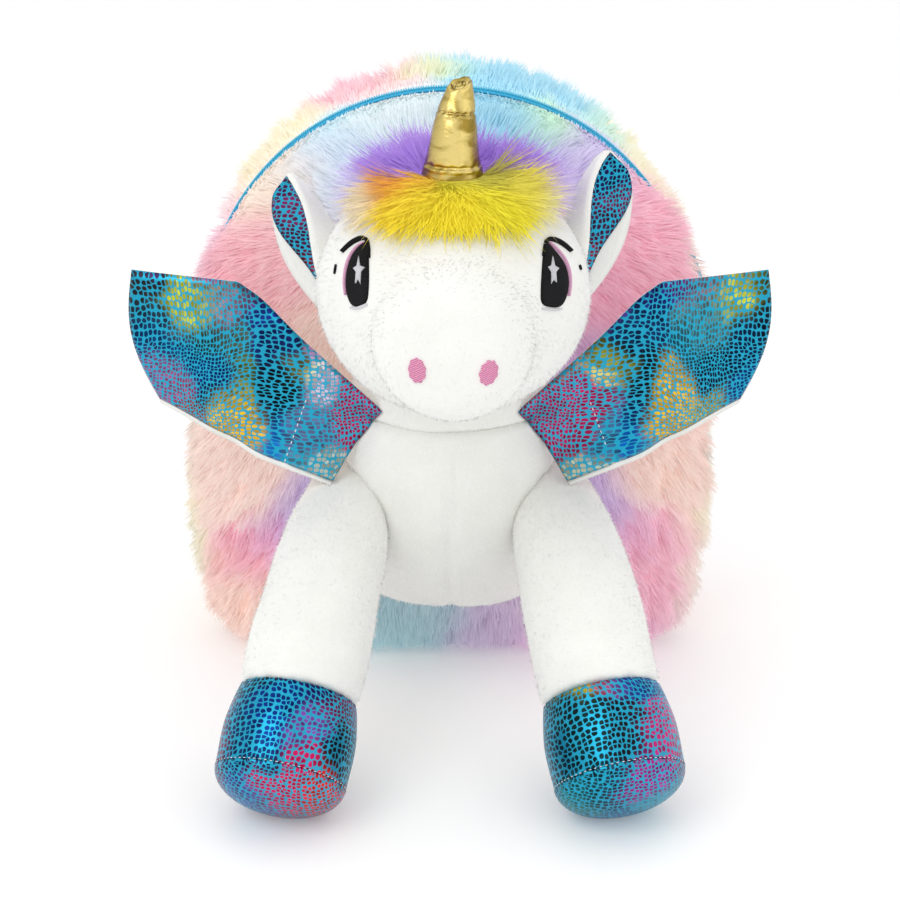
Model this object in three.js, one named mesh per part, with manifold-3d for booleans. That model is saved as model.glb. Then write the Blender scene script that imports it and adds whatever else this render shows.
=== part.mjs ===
// A child's plush backpack: a furry arched bag with a unicorn lying on its front.
// The bag is a hollow shell of faux fur in four panels, closed by a zipper over the arch. The stuffed
// head, neck, chest and legs are sewn to its front, with foil wings, hooves, ears and horn.
// Millimetres. X runs across the bag, -Y is the front, Z is up. The origin is on the flat bottom.

import * as THREE from 'three';
import { mergeVertices } from 'three/addons/utils/BufferGeometryUtils.js';
import { ParametricGeometry } from 'three/addons/geometries/ParametricGeometry.js';
import Module from 'manifold-3d';

const wasm = await Module();
wasm.setup();

// Clearances
const SEAM_GAP = 0.3;

// Cloth and fur
const FABRIC = 2;
const PILE = 9;
const FLOOR_PILE = 3;
const SEAM_PILE = 3;
const LOCK_RELIEF = 2.2;
const LOCK_DROOP = 3;
const SEAM_FADE_SHARE = 0.16;
const CENTRE_FADE = 8;
const FLOOR_FADE_START = 18;
const FLOOR_FADE_END = 45;
const GUSSET_FUR_RISE = 1.5;

// Bag outline, measured on the cloth
const ARCH_RADIUS = 130;
const ARCH_HEIGHT = 174;
const BELLY_HALF_WIDTH = 136;
const BELLY_HEIGHT = 90;
const BOTTOM_HALF_WIDTH = 104;
const CORNER_REACH = 26;
const CORNER_RISE = 50;
const FLANK_LOWER_PULL = 0.4;
const FLANK_UPPER_PULL = 0.7;

// Bag depth
const FRONT_SEAM_Y = -38;
const BACK_SEAM_Y = 36;
const DOME_DEPTH = 40;
const DOME_CENTRE_HEIGHT = 120;
const BACK_CROWN = 6;
const BACK_LINING_CROWN = 0.6;

// Pressed fur behind the sewn-on animal, where the locks lie flat
const PRESSED_HALF_WIDTH = 80;
const PRESSED_HALF_HEIGHT = 125;
const PRESSED_CENTRE_HEIGHT = 158;
const PRESSED_FADE = 1.15;

// Haunch fold low on each side of the front
const FOLD_INNER = { x: 63, z: 106 };
const FOLD_OUTER = { x: 122, z: 50 };
const FOLD_VALLEY = 6;
const FOLD_BULGE = 4;
const FOLD_SPREAD = 9;
const FOLD_BULGE_OFFSET = 23.4;
const FOLD_BULGE_SPREAD = 14.4;
const FOLD_FADE_OUT = 0.3;
const FOLD_FADE_IN = 0.1;

// Zipper
const ZIP_OPENING = 12;
const ZIP_END_ANGLE = 14;
const ZIP_END_SHARE = 0.25;
const ZIP_END_STEP = 0.3;
const TAPE_THICKNESS = 1.2;
const COIL_WIDTH = 5;
const COIL_THICKNESS = 2.6;
const SLIDER_ANGLE = 20;
const SLIDER_LENGTH = 12;
const SLIDER_WIDTH = 8;
const SLIDER_THICKNESS = 3.2;
const SLIDER_TOP_SHARE = 0.7;
const PULL_LENGTH = 22;
const PULL_WIDTH = 5;
const PULL_THICKNESS = 1.6;

// Head
const HEAD_BACK_Y = -66;
const NOSE_Y = -253;
const HEAD_HALF_WIDTH = 65;
const HEAD_HALF_HEIGHT = 57;
const HEAD_HEIGHT = 225;
const HEAD_DROP = 3;
const HEAD_SHIFT = 1.5;
const WIDEST_SHARE = 0.4;

// Neck and chest
const CHEST_HALF_WIDTH = 62;
const CHEST_DEPTH = 66;
const CHEST_CENTRE_Y = -74;
const CHEST_BOTTOM = 35;
const NECK_SEAM_HEIGHT = 151;
const NECK_TOP = 205;

// Legs, hooves and soles
const LEG_RADIUS = 27.5;
const HOOF_RADIUS = 30.6;
const SOLE_BULGE = 16.3;
const ANKLE_LENGTH = 18;
const LEG_ROOT = { x: 46, y: -62, z: 108 };
const LEG_SHOULDER = { x: 54, y: -105, z: 100 };
const LEG_KNEE = { x: 62, y: -170, z: 82 };
const HOOF_SEAM = { x: 71, y: -222, z: 49.8 };
const SOLE_RING = { x: 78, y: -248.7, z: 22 };

// Ears
const EAR_LENGTH = 76;
const EAR_BACK_WIDTH = 29;
const EAR_FLAP_WIDTH = 15.5;
const EAR_FLAP_TAPER = 0.75;
const EAR_TAPER_START = 0.2;
const EAR_SPINE_SHARE = 0.35;
const EAR_MOUTH = 11;
const EAR_PLUSH = 2.6;
const EAR_FOIL = 1;
const LEFT_EAR_BASE = { x: 50, y: -122, z: 205.5 };
const LEFT_EAR_TIP = { x: 79, y: -120, z: 274.5 };
const LEFT_EAR_TURN = 0;
const RIGHT_EAR_BASE = { x: 56, y: -122, z: 214 };
const RIGHT_EAR_TIP = { x: 78, y: -120, z: 288 };
const RIGHT_EAR_TURN = -8;

// Horn
const HORN_RADIUS = 14.8;
const HORN_BASE = { x: 1, y: -147, z: 272 };
const HORN_BEND = { x: 1, y: -149, z: 300 };
const HORN_TIP = { x: 5, y: -146, z: 328 };

// Mane
const MANE_CENTRE_Y = -145;
const MANE_HALF_WIDTH = 37;
const MANE_HALF_LENGTH = 44;
const MANE_PAD = 3;
const MANE_ROOT = 6.5;
const MANE_LENGTH = 30;
const MANE_LIFT = 13;
const MANE_LOCK_SINK = 1;
const LOCK_STEP_SHARE = 0.2;
const LOCK_ROOT_PHASE = 0.28;
const LOCK_KNEE_SHARE = 0.45;
const LOCK_TIP_LIFT = 0.7;

// Embroidery
const THREAD_HEIGHT = 1;
const EYE_CENTRE = { x: 40.5, z: 246 };
const EYE_HALF_WIDTH = 6;
const EYE_HALF_HEIGHT = 16;
const EYE_INNER_SHARE = 0.75;
const NOSTRIL_SPACING = 15.4;
const NOSTRIL_HEIGHT = 218;
const NOSTRIL_HALF_WIDTH = 3.7;
const NOSTRIL_HALF_HEIGHT = 5.6;

// Wings
const WING_FOIL = 1.6;
const WING_PLUSH = 2.8;
const WING_LAYER_GAP = 0.6;
const WING_MARGIN = 2.5;
const WING_ROOT_TOP = { x: 34, y: -122, z: 158 };
const WING_ROOT_BOTTOM = { x: 59, y: -127, z: 122 };
const WING_ROOT_BOW = 10;
const WING_BEND = { x: 105, y: -114, z: 222 };
const WING_TIP = { x: 158, y: -106, z: 226 };
const WING_CORNER = { x: 147, y: -108, z: 160 };
const WING_EDGE_BULGE = 7;
const WING_CREASE_DEPTH = 5;
const WING_CREASE_PLACE = 0.55;
const WING_CREASE_SPREAD = 0.1;
const WING_EDGE_START = 0.75;
const WING_ROOT_REACH = 0.35;
const WING_SAG = 4;

// Shoulder straps
const STRAP_WIDTH = 42;
const STRAP_THICKNESS = 6;
const WEBBING_WIDTH = 20;
const WEBBING_THICKNESS = 1.6;
const WEBBING_LEAD = 6.7;
const STRAP_SLIDER_HEIGHT = 24;
const STRAP_SLIDER_WIDTH = 30;
const STRAP_SLIDER_THICKNESS = 4.8;
const BAND_EDGE_SHARE = 0.08;
const BAND_EDGE_POWER = 0.4;
const STRAP_TOP = { x: 34, y: 42, z: 264 };
const STRAP_SHOULDER = { x: 40, y: 76, z: 236 };
const STRAP_CHEST = { x: 54, y: 88, z: 185 };
const STRAP_END = { x: 76, y: 72, z: 108 };
const WEBBING_KNEE = { x: 86, y: 60, z: 72 };
const WEBBING_FOOT = { x: 94, y: 41, z: 40 };

const clamp = THREE.MathUtils.clamp;
const lerp = THREE.MathUtils.lerp;
const smoothstep = THREE.MathUtils.smoothstep;
const degToRad = THREE.MathUtils.degToRad;
const point = (place, side = 1) => new THREE.Vector3(side * place.x, place.y, place.z);

// Materials

const cloth = (color, roughness = 0.95, metalness = 0) =>
  new THREE.MeshStandardMaterial({ color, roughness, metalness });

const furPink = () => cloth(0xf0b6cb);
const furCream = () => cloth(0xf5dfc8);
const furPanel = () => cloth(0xf3e6ee);
const plushWhite = () => cloth(0xf6f3f0);
const scaleFoil = () => cloth(0x1f7f9c, 0.35, 0.6);
const goldFoil = () => cloth(0xc99a35, 0.3, 0.9);
const zipperBlue = () => cloth(0x1aa3d6, 0.6);
const maneYellow = () => cloth(0xf2e04a);
const threadBlack = () => cloth(0x151518, 0.7);
const threadPink = () => cloth(0xd9799f, 0.7);
const strapPink = () => cloth(0xe9a9c4);
const strapPlastic = () => cloth(0xd888ad, 0.45);

// Geometry helpers

// Merges shared corners, drops faces without area and turns the rest outwards.
function solid(geometry) {
  const bare = geometry.clone();
  bare.deleteAttribute('normal');
  bare.deleteAttribute('uv');
  const merged = mergeVertices(bare, 1e-4);
  const places = merged.attributes.position;
  const corner = [new THREE.Vector3(), new THREE.Vector3(), new THREE.Vector3()];
  const kept = [];
  let volume = 0;
  for (let i = 0; i < merged.index.count; i += 3) {
    const [a, b, c] = [0, 1, 2].map((k) => merged.index.getX(i + k));
    if (a === b || b === c || c === a) continue;
    corner[0].fromBufferAttribute(places, a);
    corner[1].fromBufferAttribute(places, b);
    corner[2].fromBufferAttribute(places, c);
    volume += corner[0].dot(corner[1].cross(corner[2]));
    kept.push([a, b, c]);
  }
  const turned = volume < 0 ? kept.map(([a, b, c]) => [a, c, b]) : kept;
  return new wasm.Manifold(new wasm.Mesh({
    numProp: 3,
    vertProperties: new Float32Array(places.array),
    triVerts: new Uint32Array(turned.flat()),
  }));
}

// Turns a solid back into a named mesh.
function meshOf(name, body, material) {
  const { vertProperties, triVerts } = body.getMesh();
  const geometry = new THREE.BufferGeometry();
  geometry.setAttribute('position', new THREE.BufferAttribute(new Float32Array(vertProperties), 3));
  geometry.setIndex(new THREE.BufferAttribute(new Uint32Array(triVerts), 1));
  geometry.computeVertexNormals();
  const mesh = new THREE.Mesh(geometry, material);
  mesh.name = name;
  return mesh;
}

// The largest of the bodies that a cut leaves.
function mainBody(body) {
  const parts = body.decompose();
  return parts.reduce((best, next) => (next.volume() > best.volume() ? next : best));
}

// A closed wall between two sheets. sheet(u, v, face, i, j) gives a place on the inner face (0) or the
// outer face (1). A joined wall runs right round, so that its first and last columns meet.
function wall(sheet, columns, rows, joined = false) {
  const places = [];
  const faces = [];
  const row = columns + 1;
  const sheetSize = row * (rows + 1);
  for (const face of [0, 1]) {
    for (let j = 0; j <= rows; j += 1) {
      for (let i = 0; i <= columns; i += 1) {
        const around = joined ? i % columns : i;
        places.push(...sheet(around / columns, j / rows, face, around, j).toArray());
      }
    }
  }
  const quad = (a, b, c, d) => faces.push(a, b, c, a, c, d);
  const inner = (i, j) => j * row + i;
  const outer = (i, j) => sheetSize + j * row + i;
  for (let i = 0; i < columns; i += 1) {
    for (let j = 0; j < rows; j += 1) {
      quad(outer(i, j), outer(i + 1, j), outer(i + 1, j + 1), outer(i, j + 1));
      quad(inner(i, j), inner(i, j + 1), inner(i + 1, j + 1), inner(i + 1, j));
    }
    quad(outer(i + 1, 0), outer(i, 0), inner(i, 0), inner(i + 1, 0));
    quad(outer(i, rows), outer(i + 1, rows), inner(i + 1, rows), inner(i, rows));
  }
  for (let j = 0; j < rows && !joined; j += 1) {
    quad(outer(0, j), outer(0, j + 1), inner(0, j + 1), inner(0, j));
    quad(outer(columns, j + 1), outer(columns, j), inner(columns, j), inner(columns, j + 1));
  }
  const geometry = new THREE.BufferGeometry();
  geometry.setAttribute('position', new THREE.Float32BufferAttribute(places, 3));
  geometry.setIndex(faces);
  return solid(geometry);
}

// Reads one column of a table of sections at a share t, on a smooth curve through its rows.
function column(rows, key, t) {
  const last = rows.length - 1;
  let i = 0;
  while (i < last - 1 && rows[i + 1].at < t) {
    i += 1;
  }
  const span = rows[i + 1].at - rows[i].at;
  const s = clamp((t - rows[i].at) / span, 0, 1);
  const slope = (k) => {
    const before = rows[Math.max(k - 1, 0)];
    const after = rows[Math.min(k + 1, last)];
    return (after[key] - before[key]) / (after.at - before.at);
  };
  const rise = (3 - 2 * s) * s * s;
  const leave = ((s - 2) * s + 1) * s;
  const arrive = (s - 1) * s * s;
  return lerp(rows[i][key], rows[i + 1][key], rise) + span * (slope(i) * leave + slope(i + 1) * arrive);
}

// Shares from 0 to 1 that crowd towards both ends, as rings on a rounded form do.
const crowded = (v) => 0.5 - 0.5 * Math.cos(Math.PI * v);

// A closed stuffed form: rings of radius radiusAt(v) square to a curve, coming to a point at both ends.
function stuffedTube(curve, radiusAt, sides, rings) {
  const across = new THREE.Vector3(1, 0, 0);
  const place = (u, v, target) => {
    const along = curve.getTangentAt(v);
    const up = new THREE.Vector3().crossVectors(across, along).normalize();
    const right = new THREE.Vector3().crossVectors(along, up);
    const radius = radiusAt(v);
    const turn = 2 * Math.PI * u;
    curve.getPointAt(v, target);
    target.addScaledVector(right, radius * Math.cos(turn));
    target.addScaledVector(up, radius * Math.sin(turn));
    return target;
  };
  return solid(new ParametricGeometry(place, sides, rings));
}

// Bag outline

// Half of the cloth outline, from the middle of the bottom round the belly to the top of the arch.
const halfOutline = new THREE.Path();
halfOutline.moveTo(0, FLOOR_PILE);
halfOutline.lineTo(BOTTOM_HALF_WIDTH, FLOOR_PILE);
halfOutline.bezierCurveTo(
  BOTTOM_HALF_WIDTH + CORNER_REACH, FLOOR_PILE,
  BELLY_HALF_WIDTH, BELLY_HEIGHT - CORNER_RISE,
  BELLY_HALF_WIDTH, BELLY_HEIGHT,
);
halfOutline.bezierCurveTo(
  BELLY_HALF_WIDTH, lerp(BELLY_HEIGHT, ARCH_HEIGHT, FLANK_LOWER_PULL),
  ARCH_RADIUS, lerp(BELLY_HEIGHT, ARCH_HEIGHT, FLANK_UPPER_PULL),
  ARCH_RADIUS, ARCH_HEIGHT,
);
halfOutline.absarc(0, ARCH_HEIGHT, ARCH_RADIUS, 0, Math.PI / 2);

// A place on the outline at t, moved outwards by grow. The floor flattens what would reach below it.
function outlinePlace(t, grow) {
  const place = halfOutline.getPointAt(t);
  const along = halfOutline.getTangentAt(t);
  return { x: place.x + grow * along.y, z: Math.max(place.y - grow * along.x, 0) };
}

// Both panels and the zipper between them share the outline's columns, so that their edges match.
const HALF_COLUMNS = 24;

function archAngle(t) {
  const place = halfOutline.getPointAt(t);
  return THREE.MathUtils.radToDeg(Math.atan2(place.y - ARCH_HEIGHT, place.x));
}

let zipperColumn = 0;
while (zipperColumn < HALF_COLUMNS && archAngle(zipperColumn / HALF_COLUMNS) < ZIP_END_ANGLE) {
  zipperColumn += 1;
}

// How far the panels stand back from the seam to let the zipper lie between them.
function zipperSetback(t) {
  return Math.round(t * HALF_COLUMNS) >= zipperColumn ? ZIP_OPENING / 2 : 0;
}

// Domed front

// Sections of the front from the seam to the middle of the dome: depth, half width, and how far the
// upper and lower edges stand from the dome's middle, each as a share of its full size.
const DOME_SECTIONS = [
  { at: 0.00, depth: 0.00, width: 1.000, top: 1.00, bottom: 1.000 },
  { at: 0.20, depth: 0.34, width: 0.975, top: 0.96, bottom: 0.998 },
  { at: 0.40, depth: 0.62, width: 0.900, top: 0.87, bottom: 0.985 },
  { at: 0.60, depth: 0.82, width: 0.760, top: 0.71, bottom: 0.900 },
  { at: 0.80, depth: 0.95, width: 0.470, top: 0.44, bottom: 0.560 },
  { at: 1.00, depth: 1.00, width: 0.000, top: 0.00, bottom: 0.000 },
];

function domeCloth(t, v, setback = 0) {
  const rim = outlinePlace(t, 0);
  const start = SEAM_GAP / 2 + setback;
  const rise = rim.z - DOME_CENTRE_HEIGHT;
  const depth = lerp(start, DOME_DEPTH, column(DOME_SECTIONS, 'depth', v));
  return new THREE.Vector3(
    rim.x * column(DOME_SECTIONS, 'width', v),
    FRONT_SEAM_Y - depth,
    DOME_CENTRE_HEIGHT + rise * column(DOME_SECTIONS, rise > 0 ? 'top' : 'bottom', v),
  );
}

function domeNormal(t, v) {
  const step = 0.02;
  if (v > 1 - step) return new THREE.Vector3(0, -1, 0);
  if (v === 0) {
    const along = halfOutline.getTangentAt(t);
    return new THREE.Vector3(along.y, 0, -along.x);
  }
  const round = domeCloth(Math.min(t + step, 1), v).sub(domeCloth(Math.max(t - step, 0), v));
  const inward = domeCloth(t, v + step).sub(domeCloth(t, Math.max(v - step, 0)));
  return round.cross(inward).normalize();
}

// How freely the fur stands: nothing under the sewn-on animal, fully elsewhere.
function freeFur(place) {
  const across = place.x / PRESSED_HALF_WIDTH;
  const up = (place.z - PRESSED_CENTRE_HEIGHT) / PRESSED_HALF_HEIGHT;
  return smoothstep(Math.hypot(across, up), 1, PRESSED_FADE);
}

// The haunch fold: a valley along its line and a soft bulge on the outer, lower side.
function haunchFold(place) {
  const run = { x: FOLD_OUTER.x - FOLD_INNER.x, z: FOLD_OUTER.z - FOLD_INNER.z };
  const length = Math.hypot(run.x, run.z);
  const offset = { x: place.x - FOLD_INNER.x, z: place.z - FOLD_INNER.z };
  const share = (offset.x * run.x + offset.z * run.z) / (length * length);
  const below = (offset.x * run.z - offset.z * run.x) / length;
  const leave = smoothstep(share, 1 - FOLD_FADE_IN, 1 + FOLD_FADE_OUT);
  const reach = smoothstep(share, -FOLD_FADE_OUT, FOLD_FADE_IN) * (1 - leave);
  const valley = Math.exp(-((below / FOLD_SPREAD) ** 2));
  const bulge = Math.exp(-(((below - FOLD_BULGE_OFFSET) / FOLD_BULGE_SPREAD) ** 2));
  return reach * (FOLD_BULGE * bulge - FOLD_VALLEY * valley);
}

// Checkered tufts: every other corner stands proud and droops, so that the fur reads as rows of locks.
const lockSign = (i, j) => ((i + j) % 2 === 0 ? 1 : -1);

function domeFur(t, v, extra, lock) {
  const cloth = domeCloth(t, v, zipperSetback(t));
  const free = freeFur(cloth);
  const seam = smoothstep(v, 0, SEAM_FADE_SHARE);
  const centre = smoothstep(Math.abs(cloth.x), 0, CENTRE_FADE);
  const low = smoothstep(cloth.z, FLOOR_FADE_START, FLOOR_FADE_END);
  const relief = LOCK_RELIEF * lock * free * seam * low * centre;
  const pile = lerp(SEAM_PILE, PILE, seam) + relief + haunchFold(cloth) * seam;
  const place = cloth.addScaledVector(domeNormal(t, v), pile + extra);
  place.z -= LOCK_DROOP * free * seam * low * Math.max(lock, 0);
  place.z = Math.max(place.z, extra > 0 ? -extra : 0);
  return place;
}

function domeLining(t, v) {
  const cloth = domeCloth(t, v, zipperSetback(t));
  const seam = smoothstep(v, 0, SEAM_FADE_SHARE);
  cloth.addScaledVector(domeNormal(t, v), haunchFold(cloth) * seam - FABRIC);
  cloth.z = Math.max(cloth.z, FLOOR_PILE);
  return cloth;
}

const DOME_ROWS = 9;

function frontHalf(side) {
  const sheet = (u, v, face, i, j) => {
    const place = face ? domeFur(u, v, 0, lockSign(i, j)) : domeLining(u, v);
    place.x = side * Math.max(place.x, SEAM_GAP / 2);
    return place;
  };
  return wall(sheet, HALF_COLUMNS, DOME_ROWS);
}

// The room that the front takes, filled and grown by a gap, for cutting what is sewn to it.
function frontSpace(gap) {
  const halves = [-1, 1].map((side) => wall((u, v, face, i, j) => {
    if (!face) return new THREE.Vector3(-side * gap, FRONT_SEAM_Y + PILE, DOME_CENTRE_HEIGHT);
    const place = domeFur(u, v, gap, lockSign(i, j));
    if (u === 0 || u === 1 || v === 1) place.x = -gap;
    place.x *= side;
    return place;
  }, HALF_COLUMNS, DOME_ROWS));
  return halves[0].add(halves[1]);
}

// Of the bodies that the front's room parts from each other, the one in front of it.
function frontBody(body, room) {
  const foremost = (part) => part.boundingBox().min[1];
  return body.subtract(room).decompose().reduce(
    (best, next) => (foremost(next) < foremost(best) ? next : best),
  );
}

// Gusset

const GUSSET_ROWS = 4;

function gusset() {
  const sheet = (u, v, face, i, j) => {
    const side = u <= 0.5 ? 1 : -1;
    const t = u <= 0.5 ? 2 * u : 2 - 2 * u;
    const front = FRONT_SEAM_Y + SEAM_GAP / 2 + zipperSetback(t);
    const back = BACK_SEAM_Y - SEAM_GAP / 2;
    const crown = Math.sin(Math.PI * v);
    const low = smoothstep(outlinePlace(t, 0).z, FLOOR_FADE_START, FLOOR_FADE_END);
    const relief = LOCK_RELIEF * lockSign(i, j) * low;
    const fur = lerp(SEAM_PILE, PILE + relief, Math.min(GUSSET_FUR_RISE * crown, 1));
    const place = outlinePlace(t, face ? fur : -FABRIC);
    return new THREE.Vector3(side * place.x, lerp(front, back, v), place.z);
  };
  return wall(sheet, 2 * HALF_COLUMNS, GUSSET_ROWS, true);
}

// Back panel

// The panel itself, or with a gap the room that it takes.
function backPanel(gap) {
  const rows = 3;
  const sheet = (u, v, face) => {
    const side = u <= 0.5 ? 1 : -1;
    const t = u <= 0.5 ? 2 * u : 2 - 2 * u;
    const rim = outlinePlace(t, 0);
    const share = 1 - v;
    const crown = BACK_CROWN * Math.sqrt(1 - share * share);
    return new THREE.Vector3(
      side * rim.x * share,
      BACK_SEAM_Y + SEAM_GAP / 2 + (face ? SEAM_PILE + crown + gap : BACK_LINING_CROWN * crown - gap),
      DOME_CENTRE_HEIGHT + (rim.z - DOME_CENTRE_HEIGHT) * share,
    );
  };
  return wall(sheet, HALF_COLUMNS, rows, true);
}

// Zipper

// A band that follows the arch. Its edges in depth narrow to the seam at both ends of the opening.
function archBand(low, high, inside, outside) {
  const reach = HALF_COLUMNS - zipperColumn + 1;
  const sheet = (u, v, face, i) => {
    const away = Math.min(Math.abs(i - reach), reach - ZIP_END_STEP);
    const place = outlinePlace(1 - away / HALF_COLUMNS, (face ? outside : inside) - ARCH_RADIUS);
    const share = away > reach - 1 ? ZIP_END_SHARE : 1;
    const depth = FRONT_SEAM_Y + share * lerp(low, high, v);
    return new THREE.Vector3(Math.sign(reach - i) * place.x, depth, place.z);
  };
  return wall(sheet, 2 * reach, 1);
}

function zipperTape(side) {
  const near = side * (SEAM_GAP / 2);
  const far = side * (ZIP_OPENING / 2 - SEAM_GAP / 2);
  return archBand(Math.min(near, far), Math.max(near, far), ARCH_RADIUS - TAPE_THICKNESS, ARCH_RADIUS);
}

const COIL_BOTTOM = ARCH_RADIUS + SEAM_GAP;
const COIL_TOP = COIL_BOTTOM + COIL_THICKNESS;

function zipperCoil() {
  return archBand(-COIL_WIDTH / 2, COIL_WIDTH / 2, COIL_BOTTOM, COIL_TOP);
}

// The slider sits on the coil, with its pull tab hanging down along the arch.
function zipperSlider() {
  const bodyShape = new THREE.Shape();
  const half = SLIDER_LENGTH / 2;
  bodyShape.moveTo(-half, 0);
  bodyShape.lineTo(half, 0);
  bodyShape.lineTo(SLIDER_TOP_SHARE * half, SLIDER_THICKNESS);
  bodyShape.lineTo(-SLIDER_TOP_SHARE * half, SLIDER_THICKNESS);
  const bodyGeometry = new THREE.ExtrudeGeometry(bodyShape, { depth: SLIDER_WIDTH, bevelEnabled: false });
  bodyGeometry.translate(0, 0, -SLIDER_WIDTH / 2);
  const pullGeometry = new THREE.BoxGeometry(PULL_LENGTH, PULL_THICKNESS, PULL_WIDTH);
  pullGeometry.translate(PULL_LENGTH / 2, SLIDER_THICKNESS, 0);
  const placed = [bodyGeometry, pullGeometry].map((geometry) => {
    geometry.translate(0, COIL_TOP + SEAM_GAP, 0);
    geometry.rotateX(Math.PI / 2);
    geometry.rotateY(degToRad(90 - SLIDER_ANGLE));
    geometry.translate(0, FRONT_SEAM_Y, ARCH_HEIGHT);
    return solid(geometry);
  });
  return placed[0].add(placed[1]);
}

// Head

// Rings of the head from its back to the nose: half width, half height and drop of the middle.
const HEAD_SECTIONS = [
  { at: 0.00, width: 0.00, height: 0.00, drop: -0.5 },
  { at: 0.05, width: 0.53, height: 0.55, drop: -0.5 },
  { at: 0.14, width: 0.80, height: 0.82, drop: -0.4 },
  { at: 0.27, width: 0.95, height: 0.96, drop: -0.2 },
  { at: 0.40, width: 1.00, height: 1.00, drop: 0.0 },
  { at: 0.52, width: 0.96, height: 0.96, drop: 0.2 },
  { at: 0.62, width: 0.83, height: 0.84, drop: 0.3 },
  { at: 0.70, width: 0.67, height: 0.71, drop: 0.4 },
  { at: 0.78, width: 0.57, height: 0.61, drop: 0.5 },
  { at: 0.87, width: 0.54, height: 0.58, drop: 0.6 },
  { at: 0.94, width: 0.47, height: 0.50, drop: 0.8 },
  { at: 0.98, width: 0.30, height: 0.32, drop: 0.9 },
  { at: 1.00, width: 0.00, height: 0.00, drop: 1.0 },
];

function headRing(share) {
  return {
    y: lerp(HEAD_BACK_Y, NOSE_Y, share),
    z: HEAD_HEIGHT - HEAD_DROP * column(HEAD_SECTIONS, 'drop', share),
    width: HEAD_HALF_WIDTH * column(HEAD_SECTIONS, 'width', share),
    height: HEAD_HALF_HEIGHT * column(HEAD_SECTIONS, 'height', share),
  };
}

function headForm(gap) {
  const place = (u, v, target) => {
    const ring = headRing(crowded(v));
    const turn = 2 * Math.PI * u;
    const grown = v > 0 && v < 1 ? gap : 0;
    target.x = HEAD_SHIFT + (ring.width + grown) * Math.cos(turn);
    target.y = ring.y + gap * Math.cos(Math.PI * v);
    target.z = ring.z + (ring.height + grown) * Math.sin(turn);
    return target;
  };
  return solid(new ParametricGeometry(place, 24, 18));
}

// The depth of the head's surface in front of a place in the picture plane.
function headFrontY(x, z) {
  let outside = 1;
  let inside = WIDEST_SHARE;
  for (let i = 0; i < 30; i += 1) {
    const middle = (outside + inside) / 2;
    const ring = headRing(middle);
    const reach = Math.hypot((x - HEAD_SHIFT) / ring.width, (z - ring.z) / ring.height);
    if (reach > 1) outside = middle;
    else inside = middle;
  }
  return headRing(inside).y;
}

// The height of the head's surface over a place on its top.
function headTopZ(x, y) {
  const ring = headRing((y - HEAD_BACK_Y) / (NOSE_Y - HEAD_BACK_Y));
  return ring.z + ring.height * Math.sqrt(Math.max(1 - ((x - HEAD_SHIFT) / ring.width) ** 2, 0));
}

// Neck and chest

// Level sections from the lowest point to the top of the neck.
const CHEST_SECTIONS = [
  { at: 0.00, width: 0.00, depth: 0.00 },
  { at: 0.04, width: 0.62, depth: 0.46 },
  { at: 0.12, width: 0.82, depth: 0.68 },
  { at: 0.24, width: 0.95, depth: 0.86 },
  { at: 0.38, width: 1.00, depth: 0.97 },
  { at: 0.55, width: 0.98, depth: 1.00 },
  { at: 0.70, width: 0.86, depth: 0.97 },
  { at: 0.85, width: 0.76, depth: 0.98 },
  { at: 0.96, width: 0.70, depth: 0.98 },
  { at: 1.00, width: 0.00, depth: 0.00 },
];

function torsoForm(gap) {
  const place = (u, v, target) => {
    const turn = 2 * Math.PI * u;
    const share = crowded(v);
    const grown = v > 0 && v < 1 ? gap : 0;
    target.x = (CHEST_HALF_WIDTH * column(CHEST_SECTIONS, 'width', share) + grown) * Math.cos(turn);
    target.y = CHEST_CENTRE_Y
      + (CHEST_DEPTH * column(CHEST_SECTIONS, 'depth', share) + grown) * Math.sin(turn);
    target.z = lerp(CHEST_BOTTOM, NECK_TOP, share) - gap * Math.cos(Math.PI * v);
    return target;
  };
  return solid(new ParametricGeometry(place, 22, 12));
}

// A slab of room between two heights, for parting the neck from the chest at their seam.
function roomBetween(low, high) {
  const width = 4 * BELLY_HALF_WIDTH;
  const geometry = new THREE.BoxGeometry(width, width, high - low);
  geometry.translate(0, 0, (low + high) / 2);
  return solid(geometry);
}

// Legs

// The hoof and the end of the leg share one straight axis.
const hoofAxis = (side) => point(SOLE_RING, side).sub(point(HOOF_SEAM, side)).normalize();

function legCurve(side) {
  const ankle = point(HOOF_SEAM, side).addScaledVector(hoofAxis(side), -ANKLE_LENGTH);
  return new THREE.CatmullRomCurve3([
    point(LEG_ROOT, side), point(LEG_SHOULDER, side), point(LEG_KNEE, side), ankle, point(HOOF_SEAM, side),
  ]);
}

// Leg rings from the root to the hoof's seam, as shares of the leg's radius. Flat at the seam.
const LEG_SECTIONS = [
  { at: 0.00, radius: 0.60 },
  { at: 0.25, radius: 0.80 },
  { at: 0.50, radius: 0.96 },
  { at: 0.75, radius: 1.02 },
  { at: 1.00, radius: 0.99 },
];

function legForm(side, gap) {
  const rings = 9;
  const curve = legCurve(side);
  const place = (u, v, target) => {
    const step = Math.round(v * (rings + 2));
    const share = clamp((step - 1) / rings, 0, 1);
    const closed = step === 0 || step === rings + 2;
    const radius = closed ? 0 : LEG_RADIUS * column(LEG_SECTIONS, 'radius', share) + gap;
    ringPlace(curve.getPointAt(share), curve.getTangentAt(share), radius, u, target);
    const end = curve.getTangentAt(share);
    const push = share === 0 ? -gap : share === 1 ? gap - SEAM_GAP / 2 : 0;
    return target.addScaledVector(end, push);
  };
  return solid(new ParametricGeometry(place, 16, rings + 2));
}

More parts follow.
